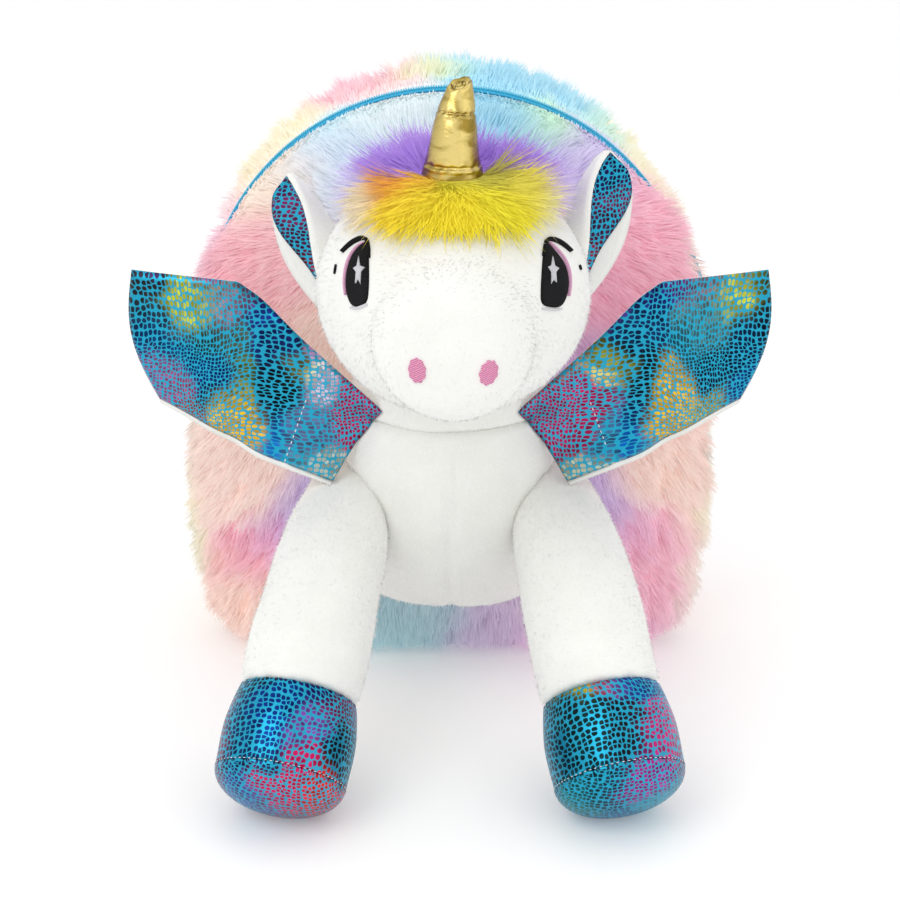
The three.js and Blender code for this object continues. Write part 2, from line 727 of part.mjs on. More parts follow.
// A place on a ring of a given radius round a centre, square to a direction.
function ringPlace(centre, along, radius, u, target) {
  const turn = 2 * Math.PI * u;
  const up = new THREE.Vector3(1, 0, 0).cross(along).normalize();
  const right = new THREE.Vector3().crossVectors(along, up);
  target.copy(centre);
  target.addScaledVector(right, radius * Math.cos(turn));
  target.addScaledVector(up, radius * Math.sin(turn));
  return target;
}

// The hoof goes on from the leg's seam and widens to the ring of the sole.
const HOOF_SECTIONS = [
  { at: 0.00, radius: 0.905 },
  { at: 0.15, radius: 0.955 },
  { at: 0.50, radius: 1.020 },
  { at: 1.00, radius: 1.000 },
];

function hoofForm(side) {
  const rings = 4;
  const place = (u, v, target) => {
    const step = Math.round(v * (rings + 2));
    const share = clamp((step - 1) / rings, 0, 1);
    const closed = step === 0 || step === rings + 2;
    const along = hoofAxis(side);
    const centre = point(HOOF_SEAM, side).lerp(point(SOLE_RING, side), share);
    const radius = closed ? 0 : HOOF_RADIUS * column(HOOF_SECTIONS, 'radius', share);
    ringPlace(centre, along, radius, u, target);
    const push = share === 0 ? SEAM_GAP / 2 : share === 1 ? -SEAM_GAP / 2 : 0;
    target.addScaledVector(along, push);
    target.z = Math.max(target.z, 0);
    return target;
  };
  return solid(new ParametricGeometry(place, 20, rings + 2));
}

// The sole is a round cushion that closes the hoof.
function soleForm(side) {
  const rings = 4;
  const along = hoofAxis(side);
  const centre = point(SOLE_RING, side);
  const place = (u, v, target) => {
    const step = Math.round(v * (rings + 1));
    const angle = (Math.PI / 2) * clamp((step - 1) / rings, 0, 1);
    const radius = step === 0 ? 0 : HOOF_RADIUS * Math.cos(angle);
    ringPlace(centre, along, step === rings + 1 ? 0 : radius, u, target);
    target.addScaledVector(along, SEAM_GAP / 2 + SOLE_BULGE * Math.sin(angle));
    target.z = Math.max(target.z, 0);
    return target;
  };
  return solid(new ParametricGeometry(place, 20, rings + 1));
}

// Ears

// Ear width from the base to the tip.
const EAR_SECTIONS = [
  { at: 0.00, width: 0.50 },
  { at: 0.25, width: 0.86 },
  { at: 0.50, width: 1.00 },
  { at: 0.75, width: 0.84 },
  { at: 0.92, width: 0.50 },
  { at: 1.00, width: 0.12 },
];

const EARS = {
  left: { base: LEFT_EAR_BASE, tip: LEFT_EAR_TIP, turn: LEFT_EAR_TURN },
  right: { base: RIGHT_EAR_BASE, tip: RIGHT_EAR_TIP, turn: RIGHT_EAR_TURN },
};

// A leaf folded lengthwise: a broad back half and a narrow front flap that meet in a rounded spine.
function earSheet(name, side) {
  const { base, tip, turn } = EARS[name];
  const foot = point(base, side);
  const up = point(tip, side).sub(foot).normalize();
  const lateral = new THREE.Vector3(side, 0, 0).addScaledVector(up, -side * up.x).normalize();
  lateral.applyAxisAngle(up, side * degToRad(turn));
  const front = new THREE.Vector3().crossVectors(lateral, up).multiplyScalar(side);
  return (v, q) => {
    const width = column(EAR_SECTIONS, 'width', v);
    const flap = EAR_FLAP_WIDTH * (1 - EAR_FLAP_TAPER * smoothstep(v, EAR_TAPER_START, 1));
    const reach = (q < 0 ? EAR_BACK_WIDTH : flap) * width;
    const place = foot.clone().addScaledVector(up, EAR_LENGTH * v);
    place.addScaledVector(lateral, reach * q * q - EAR_SPINE_SHARE * EAR_BACK_WIDTH * width);
    place.addScaledVector(front, EAR_MOUTH * Math.sqrt(width) * q);
    return place;
  };
}

function earWall(name, side, low, high) {
  const at = earSheet(name, side);
  const step = 0.02;
  const sheet = (u, v, face) => {
    const q = 2 * u - 1;
    const across = at(v, Math.min(q + step, 1)).sub(at(v, Math.max(q - step, -1)));
    const along = at(Math.min(v + step, 1), q).sub(at(Math.max(v - step, 0), q));
    const outward = across.cross(along).normalize().multiplyScalar(side);
    return at(v, q).addScaledVector(outward, face ? high : low);
  };
  return wall(sheet, 8, 6);
}

// Horn

// Rings of the horn: a gathered rim at the base, two bound waists and a turned-in tip.
const HORN_SECTIONS = [
  { at: 0.00, radius: 0.86 },
  { at: 0.06, radius: 0.97 },
  { at: 0.15, radius: 1.00 },
  { at: 0.24, radius: 0.97 },
  { at: 0.285, radius: 0.84 },
  { at: 0.34, radius: 0.81 },
  { at: 0.60, radius: 0.72 },
  { at: 0.705, radius: 0.58 },
  { at: 0.76, radius: 0.61 },
  { at: 0.88, radius: 0.47 },
  { at: 0.96, radius: 0.34 },
  { at: 1.00, radius: 0.00 },
];

function hornForm(gap) {
  const curve = new THREE.QuadraticBezierCurve3(point(HORN_BASE), point(HORN_BEND), point(HORN_TIP));
  const rings = 15;
  const place = (u, v, target) => {
    const step = Math.round(v * (rings + 1));
    const share = clamp((step - 1) / rings, 0, 1);
    const radius = step === 0 ? 0 : HORN_RADIUS * column(HORN_SECTIONS, 'radius', share);
    const grown = step === 0 || share === 1 ? 0 : gap;
    return ringPlace(curve.getPointAt(share), curve.getTangentAt(share), radius + grown, u, target);
  };
  return solid(new ParametricGeometry(place, 14, rings + 1));
}

// Mane

// Rings of locks round the horn: how far out they root, how long they are and how many there are.
const MANE_RINGS = [
  { root: 0.58, length: 0.80, lift: 1.30, count: 7 },
  { root: 0.88, length: 0.90, lift: 0.60, count: 12 },
];

// A place over the crown: share 0 is the middle of the pad and 1 its edge, height is above the head.
function crownPlace(turn, share, height) {
  const x = HEAD_SHIFT + MANE_HALF_WIDTH * share * Math.cos(turn);
  const y = MANE_CENTRE_Y + MANE_HALF_LENGTH * share * Math.sin(turn);
  return new THREE.Vector3(x, y, headTopZ(x, y) + height);
}

function manePad() {
  const sheet = (u, v, face) => crownPlace(2 * Math.PI * u, 1 - v, face ? MANE_PAD : SEAM_GAP);
  return wall(sheet, 18, 2, true);
}

function maneLock(turn, ring) {
  const root = crownPlace(turn, ring.root, MANE_PAD - MANE_LOCK_SINK);
  const next = crownPlace(turn, ring.root + LOCK_STEP_SHARE, MANE_PAD - MANE_LOCK_SINK);
  const away = next.sub(root).normalize();
  const length = MANE_LENGTH * ring.length;
  const lift = MANE_LIFT * ring.lift;
  const knee = root.clone().addScaledVector(away, LOCK_KNEE_SHARE * length);
  knee.z += lift;
  const tip = root.clone().addScaledVector(away, length);
  tip.z += LOCK_TIP_LIFT * lift;
  const curve = new THREE.QuadraticBezierCurve3(root, knee, tip);
  const phaseAt = (v) => Math.PI * lerp(LOCK_ROOT_PHASE, 1, Math.min(v, 1));
  const radiusAt = (v) => (v > 0 ? MANE_ROOT * Math.sin(phaseAt(v)) : 0);
  return stuffedTube(curve, radiusAt, 5, 3);
}

function mane() {
  const locks = MANE_RINGS.flatMap((ring, row) => Array.from({ length: ring.count }, (_, i) => {
    const turn = (2 * Math.PI * (i + 0.5 * (row % 2))) / ring.count + Math.PI / 2;
    return maneLock(turn, ring);
  }));
  return locks.reduce((whole, lock) => whole.add(lock), manePad());
}

// Embroidered patches

// A raised patch that follows the head's front, with its outline given by angle.
function facePatch(centre, outlineAt, columns = 16) {
  const step = 0.5;
  const sheet = (u, v, face) => {
    const edge = outlineAt(2 * Math.PI * u);
    const x = centre.x + edge.x * (1 - v);
    const z = centre.z + edge.z * (1 - v);
    const slopeX = (headFrontY(x + step, z) - headFrontY(x - step, z)) / (2 * step);
    const slopeZ = (headFrontY(x, z + step) - headFrontY(x, z - step)) / (2 * step);
    const outward = new THREE.Vector3(slopeX, -1, slopeZ).normalize();
    const place = new THREE.Vector3(x, headFrontY(x, z), z);
    return place.addScaledVector(outward, face ? SEAM_GAP + THREAD_HEIGHT : -THREAD_HEIGHT);
  };
  return mainBody(wall(sheet, columns, 2, true).subtract(headRoom));
}

// The eye is a tall D: nearly straight towards the nose, and round on the outer side.
function eyeOutline(side) {
  return (turn) => {
    const across = Math.cos(turn);
    const reach = across > 0 ? EYE_HALF_WIDTH * across : EYE_INNER_SHARE * EYE_HALF_WIDTH * across;
    return { x: side * reach, z: EYE_HALF_HEIGHT * Math.sin(turn) };
  };
}

function nostrilOutline(turn) {
  return { x: NOSTRIL_HALF_WIDTH * Math.cos(turn), z: NOSTRIL_HALF_HEIGHT * Math.sin(turn) };
}

// Wings

// The wing's surface: u runs from the root to the tip and v from the lower edge to the upper edge.
function wingSurface(side) {
  const sagging = point(WING_ROOT_BOTTOM, side).lerp(point(WING_CORNER, side), 0.5);
  sagging.z -= WING_SAG;
  const lower = new THREE.CatmullRomCurve3([
    point(WING_ROOT_BOTTOM, side), sagging, point(WING_CORNER, side),
  ]);
  const upper = new THREE.CatmullRomCurve3([
    point(WING_ROOT_TOP, side),
    point(WING_ROOT_TOP, side).lerp(point(WING_BEND, side), 0.5),
    point(WING_BEND, side),
    point(WING_TIP, side),
  ], false, 'centripetal');
  return (u, v, margin) => {
    const low = lower.getPointAt(u);
    const high = upper.getPointAt(u);
    const place = low.clone().lerp(high, v);
    const outer = smoothstep(u, WING_EDGE_START, 1);
    place.x += side * WING_EDGE_BULGE * Math.sin(Math.PI * v) * outer;
    place.addScaledVector(low.clone().sub(high).normalize(), margin * (1 - v));
    const crease = Math.exp(-(((u - WING_CREASE_PLACE) / WING_CREASE_SPREAD) ** 2));
    place.y += WING_CREASE_DEPTH * crease;
    place.y += WING_ROOT_BOW * Math.sin(Math.PI * v) * (1 - smoothstep(u, 0, WING_ROOT_REACH));
    return place;
  };
}

function wingLayer(side, near, far, margin) {
  const at = wingSurface(side);
  const sheet = (u, v, face) => {
    const place = at(u, v, margin);
    place.y += face ? near : far;
    return place;
  };
  return wall(sheet, 10, 4);
}

// Shoulder straps

// A flat band along a curve, width across X and thickness square to it.
function flatBand(curve, width, thickness, columns, rows) {
  const sheet = (u, v, face) => {
    const along = curve.getTangentAt(u);
    const out = new THREE.Vector3(1, 0, 0).cross(along).normalize();
    const across = new THREE.Vector3().crossVectors(along, out);
    const place = curve.getPointAt(u);
    const soft = Math.sin(Math.PI * clamp(v, BAND_EDGE_SHARE, 1 - BAND_EDGE_SHARE)) ** BAND_EDGE_POWER;
    place.addScaledVector(across, width * (v - 0.5));
    return place.addScaledVector(out, (face ? 0.5 : -0.5) * thickness * soft);
  };
  return wall(sheet, columns, rows);
}

function strapCurve(side) {
  return new THREE.CatmullRomCurve3([
    point(STRAP_TOP, side), point(STRAP_SHOULDER, side), point(STRAP_CHEST, side), point(STRAP_END, side),
  ]);
}

function webbingCurve(side) {
  const end = point(STRAP_END, side);
  const leave = strapCurve(side).getTangentAt(1);
  const buckle = end.clone().addScaledVector(leave, STRAP_SLIDER_HEIGHT);
  const below = buckle.clone().addScaledVector(leave, WEBBING_LEAD);
  return new THREE.CatmullRomCurve3([buckle, below, point(WEBBING_KNEE, side), point(WEBBING_FOOT, side)]);
}

// The slider is a plain flat block between the padded strap and the webbing.
function strapSlider(side) {
  const end = point(STRAP_END, side);
  const leave = strapCurve(side).getTangentAt(1);
  const from = end.clone().addScaledVector(leave, SEAM_GAP);
  const to = end.clone().addScaledVector(leave, STRAP_SLIDER_HEIGHT - SEAM_GAP);
  const line = new THREE.LineCurve3(from, to);
  return flatBand(line, STRAP_SLIDER_WIDTH, STRAP_SLIDER_THICKNESS, 1, 2);
}

// Assembly

const SIDES = { left: -1, right: 1 };
const backpack = new THREE.Group();
const add = (name, body, material) => backpack.add(meshOf(name, body, material));

const frontRoom = frontSpace(SEAM_GAP);
const headRoom = headForm(SEAM_GAP);
const hornRoom = hornForm(SEAM_GAP);
const torsoBody = torsoForm(0).subtract(headRoom);
const backRoom = backPanel(SEAM_GAP);
const torsoRoom = torsoForm(SEAM_GAP);

const legRooms = legForm(-1, SEAM_GAP).add(legForm(1, SEAM_GAP));
const chestRoom = roomBetween(0, NECK_SEAM_HEIGHT - SEAM_GAP / 2);
const neckRoom = roomBetween(NECK_SEAM_HEIGHT + SEAM_GAP / 2, 2 * NECK_TOP);

add('bag_front_left', frontHalf(-1), furPink());
add('bag_front_right', frontHalf(1), furPink());
add('bag_gusset', gusset(), furCream());
add('bag_back', backPanel(0), furPanel());

add('zipper_tape_front', zipperTape(-1), zipperBlue());
add('zipper_tape_back', zipperTape(1), zipperBlue());
add('zipper_coil', zipperCoil(), zipperBlue());
add('zipper_slider', zipperSlider(), zipperBlue());

add('head', frontBody(headForm(0), frontRoom), plushWhite());
add('neck', frontBody(torsoBody.intersect(neckRoom), frontRoom), plushWhite());
add('chest', frontBody(torsoBody.intersect(chestRoom).subtract(legRooms), frontRoom), plushWhite());
add('horn', mainBody(hornForm(0).subtract(headRoom)), goldFoil());

for (const [name, side] of Object.entries(SIDES)) {
  const plush = earWall(name, side, SEAM_GAP / 2, EAR_PLUSH);
  const lining = earWall(name, side, -EAR_FOIL, -SEAM_GAP / 2);
  add(`ear_${name}`, mainBody(plush.subtract(headRoom)), plushWhite());
  add(`ear_lining_${name}`, mainBody(lining.subtract(headRoom)), scaleFoil());

  const eyeCentre = { x: HEAD_SHIFT + side * EYE_CENTRE.x, z: EYE_CENTRE.z };
  const nostrilCentre = { x: HEAD_SHIFT + side * NOSTRIL_SPACING, z: NOSTRIL_HEIGHT };
  add(`eye_${name}`, facePatch(eyeCentre, eyeOutline(side)), threadBlack());
  add(`nostril_${name}`, facePatch(nostrilCentre, nostrilOutline, 12), threadPink());

  add(`leg_${name}`, frontBody(legForm(side, 0), frontRoom), plushWhite());
  add(`hoof_${name}`, hoofForm(side), scaleFoil());
  add(`sole_${name}`, soleForm(side), scaleFoil());

  const foil = wingLayer(side, -WING_FOIL, 0, 0);
  const plushBack = wingLayer(side, WING_LAYER_GAP, WING_LAYER_GAP + WING_PLUSH, WING_MARGIN);
  const wingCut = torsoRoom.add(legRooms);
  add(`wing_front_${name}`, mainBody(foil.subtract(wingCut)), scaleFoil());
  add(`wing_back_${name}`, mainBody(plushBack.subtract(wingCut)), plushWhite());

  const strap = flatBand(strapCurve(side), STRAP_WIDTH, STRAP_THICKNESS, 10, 3);
  const webbing = flatBand(webbingCurve(side), WEBBING_WIDTH, WEBBING_THICKNESS, 8, 1);
  add(`strap_${name}`, mainBody(strap.subtract(backRoom)), strapPink());
  add(`webbing_${name}`, mainBody(webbing.subtract(backRoom)), strapPink());
  add(`strap_slider_${name}`, strapSlider(side), strapPlastic());
}

add('mane', mainBody(mane().subtract(hornRoom).subtract(headRoom)), maneYellow());

export default backpack;
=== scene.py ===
"""A child's plush backpack: a furry rainbow bag with a white unicorn lying on its front.

Metres, in the part's own frame: X runs across the bag, -Y is the front and Z is up.
"""
import math

import bmesh
import bpy
import numpy as np
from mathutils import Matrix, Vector, kdtree, noise
from mathutils.bvhtree import BVHTree

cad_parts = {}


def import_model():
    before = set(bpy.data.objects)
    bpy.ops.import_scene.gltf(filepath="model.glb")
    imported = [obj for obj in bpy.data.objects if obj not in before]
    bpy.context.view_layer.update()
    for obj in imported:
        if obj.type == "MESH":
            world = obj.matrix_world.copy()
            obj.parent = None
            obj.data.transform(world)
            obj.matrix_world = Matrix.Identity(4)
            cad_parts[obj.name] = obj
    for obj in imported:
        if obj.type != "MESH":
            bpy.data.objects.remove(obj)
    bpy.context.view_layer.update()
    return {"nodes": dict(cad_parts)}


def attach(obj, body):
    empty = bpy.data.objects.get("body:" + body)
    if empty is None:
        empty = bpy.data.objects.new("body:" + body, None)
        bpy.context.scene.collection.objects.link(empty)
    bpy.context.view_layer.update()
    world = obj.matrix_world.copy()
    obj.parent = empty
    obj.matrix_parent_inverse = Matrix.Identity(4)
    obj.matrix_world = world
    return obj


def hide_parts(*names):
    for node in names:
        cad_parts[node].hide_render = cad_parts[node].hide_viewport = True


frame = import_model()

# Camera. It stands a metre before the bag and looks down on it a little, as the photograph's did.
CAMERA_PLACE = (0, -1.0, 0.45)
CAMERA_PITCH = math.radians(19.62)
LENS_MM = 74
SENSOR_MM = 36
VIEW_SIZE = 900
VIEW_MIDDLE = VIEW_SIZE / 2
VIEW_FOCUS = VIEW_SIZE * LENS_MM / SENSOR_MM

camera = bpy.data.objects.new("camera", bpy.data.cameras.new("camera"))
camera.location = CAMERA_PLACE
camera.rotation_euler = (math.pi / 2 - CAMERA_PITCH, 0, 0)
camera.data.lens = LENS_MM
camera.data.sensor_width = SENSOR_MM
bpy.context.collection.objects.link(camera)
bpy.context.scene.camera = camera
bpy.context.scene.view_settings.view_transform = "Standard"

# Studio. A pale floor that runs out of view, a soft white surround and large soft lamps.
FLOOR_HALF = 30
FLOOR_PALE = (0.87, 0.87, 0.87)
FLOOR_GLOW = 0.16
SKY_STRENGTH = 0.94
LAMPS_AIM = (0, -0.1, 0.15)


def new_object(name, mesh):
    piece = bpy.data.objects.new(name, mesh)
    bpy.context.collection.objects.link(piece)
    return piece


def settle(piece, node=None):
    """Gives a piece its body, and hides the node that it stands for, if it has one."""
    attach(piece, "root")
    if node:
        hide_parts(node)
    return piece


def dressed(mesh, material, node=None):
    """A finished mesh as a piece of the bag, in its material."""
    mesh.materials.append(material)
    return settle(new_object(mesh.name, mesh), node)


def plain_material(name, roughness, colour=(0.8, 0.8, 0.8), **sockets):
    """A material with its Principled shader; sockets are set on the shader itself."""
    material = bpy.data.materials.new(name)
    material.use_nodes = True
    shader = material.node_tree.nodes["Principled BSDF"]
    shader.inputs["Base Color"].default_value = (*colour, 1)
    shader.inputs["Roughness"].default_value = roughness
    for socket, value in sockets.items():
        shader.inputs[socket.replace("_", " ")].default_value = value
    return material, material.node_tree, shader


floor_mesh = bpy.data.meshes.new("floor")
floor_mesh.from_pydata(
    [(x * FLOOR_HALF, y * FLOOR_HALF, 0) for x, y in ((-1, -1), (1, -1), (1, 1), (-1, 1))],
    [], [(0, 1, 2, 3)],
)
floor = new_object("floor", floor_mesh)
floor_paint, _, _ = plain_material(
    "studio floor", 0.6, FLOOR_PALE, Emission_Color=(1, 1, 1, 1), Emission_Strength=FLOOR_GLOW
)
floor_mesh.materials.append(floor_paint)

world = bpy.data.worlds.new("studio")
world.use_nodes = True
world.node_tree.nodes["Background"].inputs["Color"].default_value = (1, 1, 1, 1)
world.node_tree.nodes["Background"].inputs["Strength"].default_value = SKY_STRENGTH
bpy.context.scene.world = world

LAMPS = {
    "key": ((-0.9, -1.1, 1.5), 1.1, 6.5),
    "fill": ((1.2, -0.9, 0.9), 1.2, 1.2),
    "top": ((0.1, 0.3, 1.7), 1.6, 2.5),
}
for lamp_name, (place, size, power) in LAMPS.items():
    lamp = bpy.data.objects.new(lamp_name, bpy.data.lights.new(lamp_name, "AREA"))
    lamp.data.size = size
    lamp.data.energy = power
    lamp.location = place
    lamp.rotation_euler = (Vector(LAMPS_AIM) - lamp.location).to_track_quat("-Z", "Y").to_euler()
    bpy.context.collection.objects.link(lamp)

# Bag cloth. The bag is a hollow shell of faux fur: two front panels that meet in a middle seam, and a
# gusset round the sides. They are cut from dyed pile fabric and sewn together inside out.
ARCH_RADIUS = 0.130
ARCH_HEIGHT = 0.174
BELLY_HALF_WIDTH = 0.136
BELLY_HEIGHT = 0.090
BOTTOM_HALF_WIDTH = 0.104
CORNER_REACH = 0.026
CORNER_RISE = 0.050
FLOOR_PILE = 0.003
FRONT_SEAM_Y = -0.038
BACK_SEAM_Y = 0.036
DOME_DEPTH = 0.040
DOME_CENTRE_HEIGHT = 0.120
ZIP_SETBACK = 0.006
ZIP_END_ANGLE = 16
ZIP_END_TAPER = 3
BACKING = 0.0015
SKIN_LIFT = 0.003
PRESSED_HALF_WIDTH = 0.062
PRESSED_HALF_HEIGHT = 0.112
PRESSED_CENTRE_HEIGHT = 0.150
FOLD_INNER = (0.063, 0.106)
FOLD_OUTER = (0.122, 0.050)
FOLD_VALLEY = 0.006
FOLD_BULGE = 0.004
FOLD_SPREAD = 0.009
SEAM_GAP = 0.0003

DOME = {
    "at": (0.0, 0.2, 0.4, 0.6, 0.8, 1.0),
    "depth": (0.0, 0.34, 0.62, 0.82, 0.95, 1.0),
    "width": (1.0, 0.975, 0.9, 0.76, 0.47, 0.0),
    "top": (1.0, 0.96, 0.87, 0.71, 0.44, 0.0),
    "bottom": (1.0, 0.998, 0.985, 0.9, 0.56, 0.0),
}


def smooth(value, low, high):
    t = np.clip((value - low) / (high - low), 0, 1)
    return t * t * (3 - 2 * t)


def unit(vectors):
    return vectors / np.maximum(np.linalg.norm(vectors, axis=-1, keepdims=True), 1e-9)


def column(table, key, share):
    """One column of a table of sections at a share, on a smooth curve through its rows."""
    at, value = np.array(table["at"]), np.array(table[key])
    last = len(at) - 1
    before = np.maximum(np.arange(last + 1) - 1, 0)
    after = np.minimum(np.arange(last + 1) + 1, last)
    slope = (value[after] - value[before]) / (at[after] - at[before])
    i = np.clip(np.searchsorted(at, share, side="left") - 1, 0, last - 1)
    span = at[i + 1] - at[i]
    s = np.clip((share - at[i]) / span, 0, 1)
    rise = (3 - 2 * s) * s * s
    leave = ((s - 2) * s + 1) * s
    arrive = (s - 1) * s * s
    return (
        value[i] + (value[i + 1] - value[i]) * rise
        + span * (slope[i] * leave + slope[i + 1] * arrive)
    )


def bezier(a, b, c, d, count=60):
    t = np.linspace(0, 1, count)[:, None]
    a, b, c, d = (np.array(p) for p in (a, b, c, d))
    return (1 - t) ** 3 * a + 3 * (1 - t) ** 2 * t * b + 3 * (1 - t) * t ** 2 * c + t ** 3 * d


rise = ARCH_HEIGHT - BELLY_HEIGHT
quarter = np.linspace(0, math.pi / 2, 90)
rim_line = np.vstack([
    [(0, FLOOR_PILE)],
    bezier(
        (BOTTOM_HALF_WIDTH, FLOOR_PILE), (BOTTOM_HALF_WIDTH + CORNER_REACH, FLOOR_PILE),
        (BELLY_HALF_WIDTH, BELLY_HEIGHT - CORNER_RISE), (BELLY_HALF_WIDTH, BELLY_HEIGHT),
    ),
    bezier(
        (BELLY_HALF_WIDTH, BELLY_HEIGHT), (BELLY_HALF_WIDTH, BELLY_HEIGHT + 0.4 * rise),
        (ARCH_RADIUS, BELLY_HEIGHT + 0.7 * rise), (ARCH_RADIUS, ARCH_HEIGHT),
    )[1:],
    np.stack([ARCH_RADIUS * np.cos(quarter), ARCH_HEIGHT + ARCH_RADIUS * np.sin(quarter)], 1)[1:],
])
rim_run = np.concatenate([[0], np.cumsum(np.linalg.norm(np.diff(rim_line, axis=0), axis=1))])


def rim(share, grow=0.0):
    """A place on half the bag's outline, moved outwards by grow, as x and z."""
    run = np.clip(share, 0, 1) * rim_run[-1]
    step = 0.002
    x, z = (np.interp(run, rim_run, rim_line[:, k]) for k in (0, 1))
    ahead = [np.interp(run + step, rim_run, rim_line[:, k]) for k in (0, 1)]
    behind = [np.interp(run - step, rim_run, rim_line[:, k]) for k in (0, 1)]
    along = unit(np.stack([ahead[0] - behind[0], ahead[1] - behind[1]], -1))
    return x + grow * along[..., 1], np.maximum(z - grow * along[..., 0], 0)


def zip_opening(share):
    """How far the panels stand back from the seam to let the zipper lie between them."""
    x, z = rim(share)
    angle = np.degrees(np.arctan2(z - ARCH_HEIGHT, x))
    return ZIP_SETBACK * smooth(angle, ZIP_END_ANGLE - ZIP_END_TAPER, ZIP_END_ANGLE)


def dome(share, inward):
    """The front panel's cloth: share runs round the outline and inward from the seam to the middle."""
    x, z = rim(share)
    rise = z - DOME_CENTRE_HEIGHT
    start = SEAM_GAP / 2 + zip_opening(share)
    depth = start + (DOME_DEPTH - start) * column(DOME, "depth", inward)
    height = np.where(rise > 0, column(DOME, "top", inward), column(DOME, "bottom", inward))
    return np.stack(
        [x * column(DOME, "width", inward), FRONT_SEAM_Y - depth, DOME_CENTRE_HEIGHT + rise * height], -1
    )


def grid_normals(places):
    """Normals of a grid of places, whose rows run round and whose columns run inward."""
    round_way = np.gradient(places, axis=1)
    inward_way = np.gradient(places, axis=0)
    return unit(np.cross(round_way, inward_way))


def haunch(x, z):
    """The haunch fold low on each side: a valley along its line and a soft bulge below it."""
    run = np.subtract(FOLD_OUTER, FOLD_INNER)
    length = np.hypot(*run)
    dx, dz = x - FOLD_INNER[0], z - FOLD_INNER[1]
    share = (dx * run[0] + dz * run[1]) / length ** 2
    below = (dx * run[1] - dz * run[0]) / length
    reach = smooth(share, -0.3, 0.1) * (1 - smooth(share, 0.9, 1.3))
    valley = np.exp(-((below / FOLD_SPREAD) ** 2))
    bulge = np.exp(-(((below - 2.6 * FOLD_SPREAD) / (1.6 * FOLD_SPREAD)) ** 2))
    return reach * (FOLD_BULGE * bulge - FOLD_VALLEY * valley)


def shell(name, outer, inner, joined=False):
    """A closed wall between two grids of places. A joined one runs right round."""
    rows, columns = outer.shape[:2]
    places = np.vstack([outer.reshape(-1, 3), inner.reshape(-1, 3)])
    under = rows * columns
    faces = []
    across = columns if joined else columns - 1
    for j in range(rows - 1):
        for i in range(across):
            a, b = j * columns + i, j * columns + (i + 1) % columns
            faces.append((a, b, b + columns, a + columns))
            faces.append((under + a, under + a + columns, under + b + columns, under + b))
    for i in range(across):
        a, b = i, (i + 1) % columns
        top = (rows - 1) * columns
        faces.append((b, a, under + a, under + b))
        faces.append((top + a, top + b, under + top + b, under + top + a))
    for j in range(0 if joined else rows - 1):
        a, b = j * columns, (j + 1) * columns
        faces.append((a, b, under + b, under + a))
        a, b = a + columns - 1, b + columns - 1
        faces.append((b, a, under + a, under + b))
    mesh = bpy.data.meshes.new(name)
    mesh.from_pydata(places.tolist(), [], faces)
    return close_mesh(mesh)


def close_mesh(mesh):
    """Merges doubled points, drops faces without area and turns the rest outwards."""
    work = bmesh.new()
    work.from_mesh(mesh)
    bmesh.ops.remove_doubles(work, verts=work.verts, dist=2e-5)
    bmesh.ops.dissolve_degenerate(work, edges=work.edges, dist=1e-6)
    bmesh.ops.recalc_face_normals(work, faces=work.faces)
    work.to_mesh(mesh)
    work.free()
    mesh.shade_smooth()
    return mesh


def mesh_arrays(mesh):
    """A mesh's places and its point normals."""
    places = np.empty(len(mesh.vertices) * 3, np.float32)
    mesh.vertices.foreach_get("co", places)
    normals = np.empty(len(mesh.vertices) * 3, np.float32)
    mesh.vertex_normals.foreach_get("vector", normals)
    return places.reshape(-1, 3).astype(float), normals.reshape(-1, 3).astype(float)


def store(mesh, name, values, kind="FLOAT_VECTOR", field="vector"):
    layer = mesh.attributes.get(name) or mesh.attributes.new(name, kind, "POINT")
    layer.data.foreach_set(field, np.ascontiguousarray(values, np.float32).ravel())


def hue(code):
    """A hex colour as linear red, green and blue."""
    parts = [int(code[k:k + 2], 16) / 255 for k in (0, 2, 4)]
    return [p / 12.92 if p <= 0.04045 else ((p + 0.055) / 1.055) ** 2.4 for p in parts]


def wander(places, size, seed):
    """Smooth noise vectors at places, for marbling and for uneven locks."""
    shift = Vector((seed * 3.7, seed * 1.3, -seed * 2.1))
    return np.array([noise.noise_vector(Vector(p) / size + shift) for p in places])


def zone_colours(places, zones, marble, seed):
    """Blends listed colour zones, each a place, a reach and a colour, with marbled borders."""
    spots = places + marble * wander(places, 0.030, seed) + 0.4 * marble * wander(places, 0.011, seed + 1)
    total = np.zeros((len(places), 3))
    weight = np.zeros((len(places), 1))
    for centre, reach, code in zones:
        away = np.linalg.norm(spots - np.array(centre), axis=1) / reach
        share = np.exp(-2.2 * away ** 2)[:, None] + 1e-7 / (0.05 + away[:, None] ** 4)
        total += share * np.array(hue(code))
        weight += share
    return np.hstack([total / weight, np.ones_like(weight)])


HALF_COLUMNS = 84
DOME_ROWS = 46
SIDES = ((-1, "left"), (1, "right"))


def front_panel(side):
    share = np.linspace(0, 1, HALF_COLUMNS)
    inward = np.linspace(0, 1, DOME_ROWS) ** 1.2
    cloth = dome(share[None, :], inward[:, None])
    normals = grid_normals(cloth)
    normals[0] = normals[1]
    normals[-1] = (0, -1, 0)
    fold = haunch(cloth[..., 0], cloth[..., 2]) * smooth(inward, 0, 0.16)[:, None]
    lift = SKIN_LIFT * smooth(inward, -0.03, 0.1)[:, None] + fold
    outer = cloth + normals * lift[..., None]
    inner = cloth + normals * (fold - BACKING)[..., None]
    for grid in (outer, inner):
        grid[..., 0] = side * np.maximum(grid[..., 0], SEAM_GAP / 2)
        grid[..., 2] = np.maximum(grid[..., 2], 0.0005)
    return shell(f"bag_front_{'left' if side < 0 else 'right'}_cloth", outer, inner)


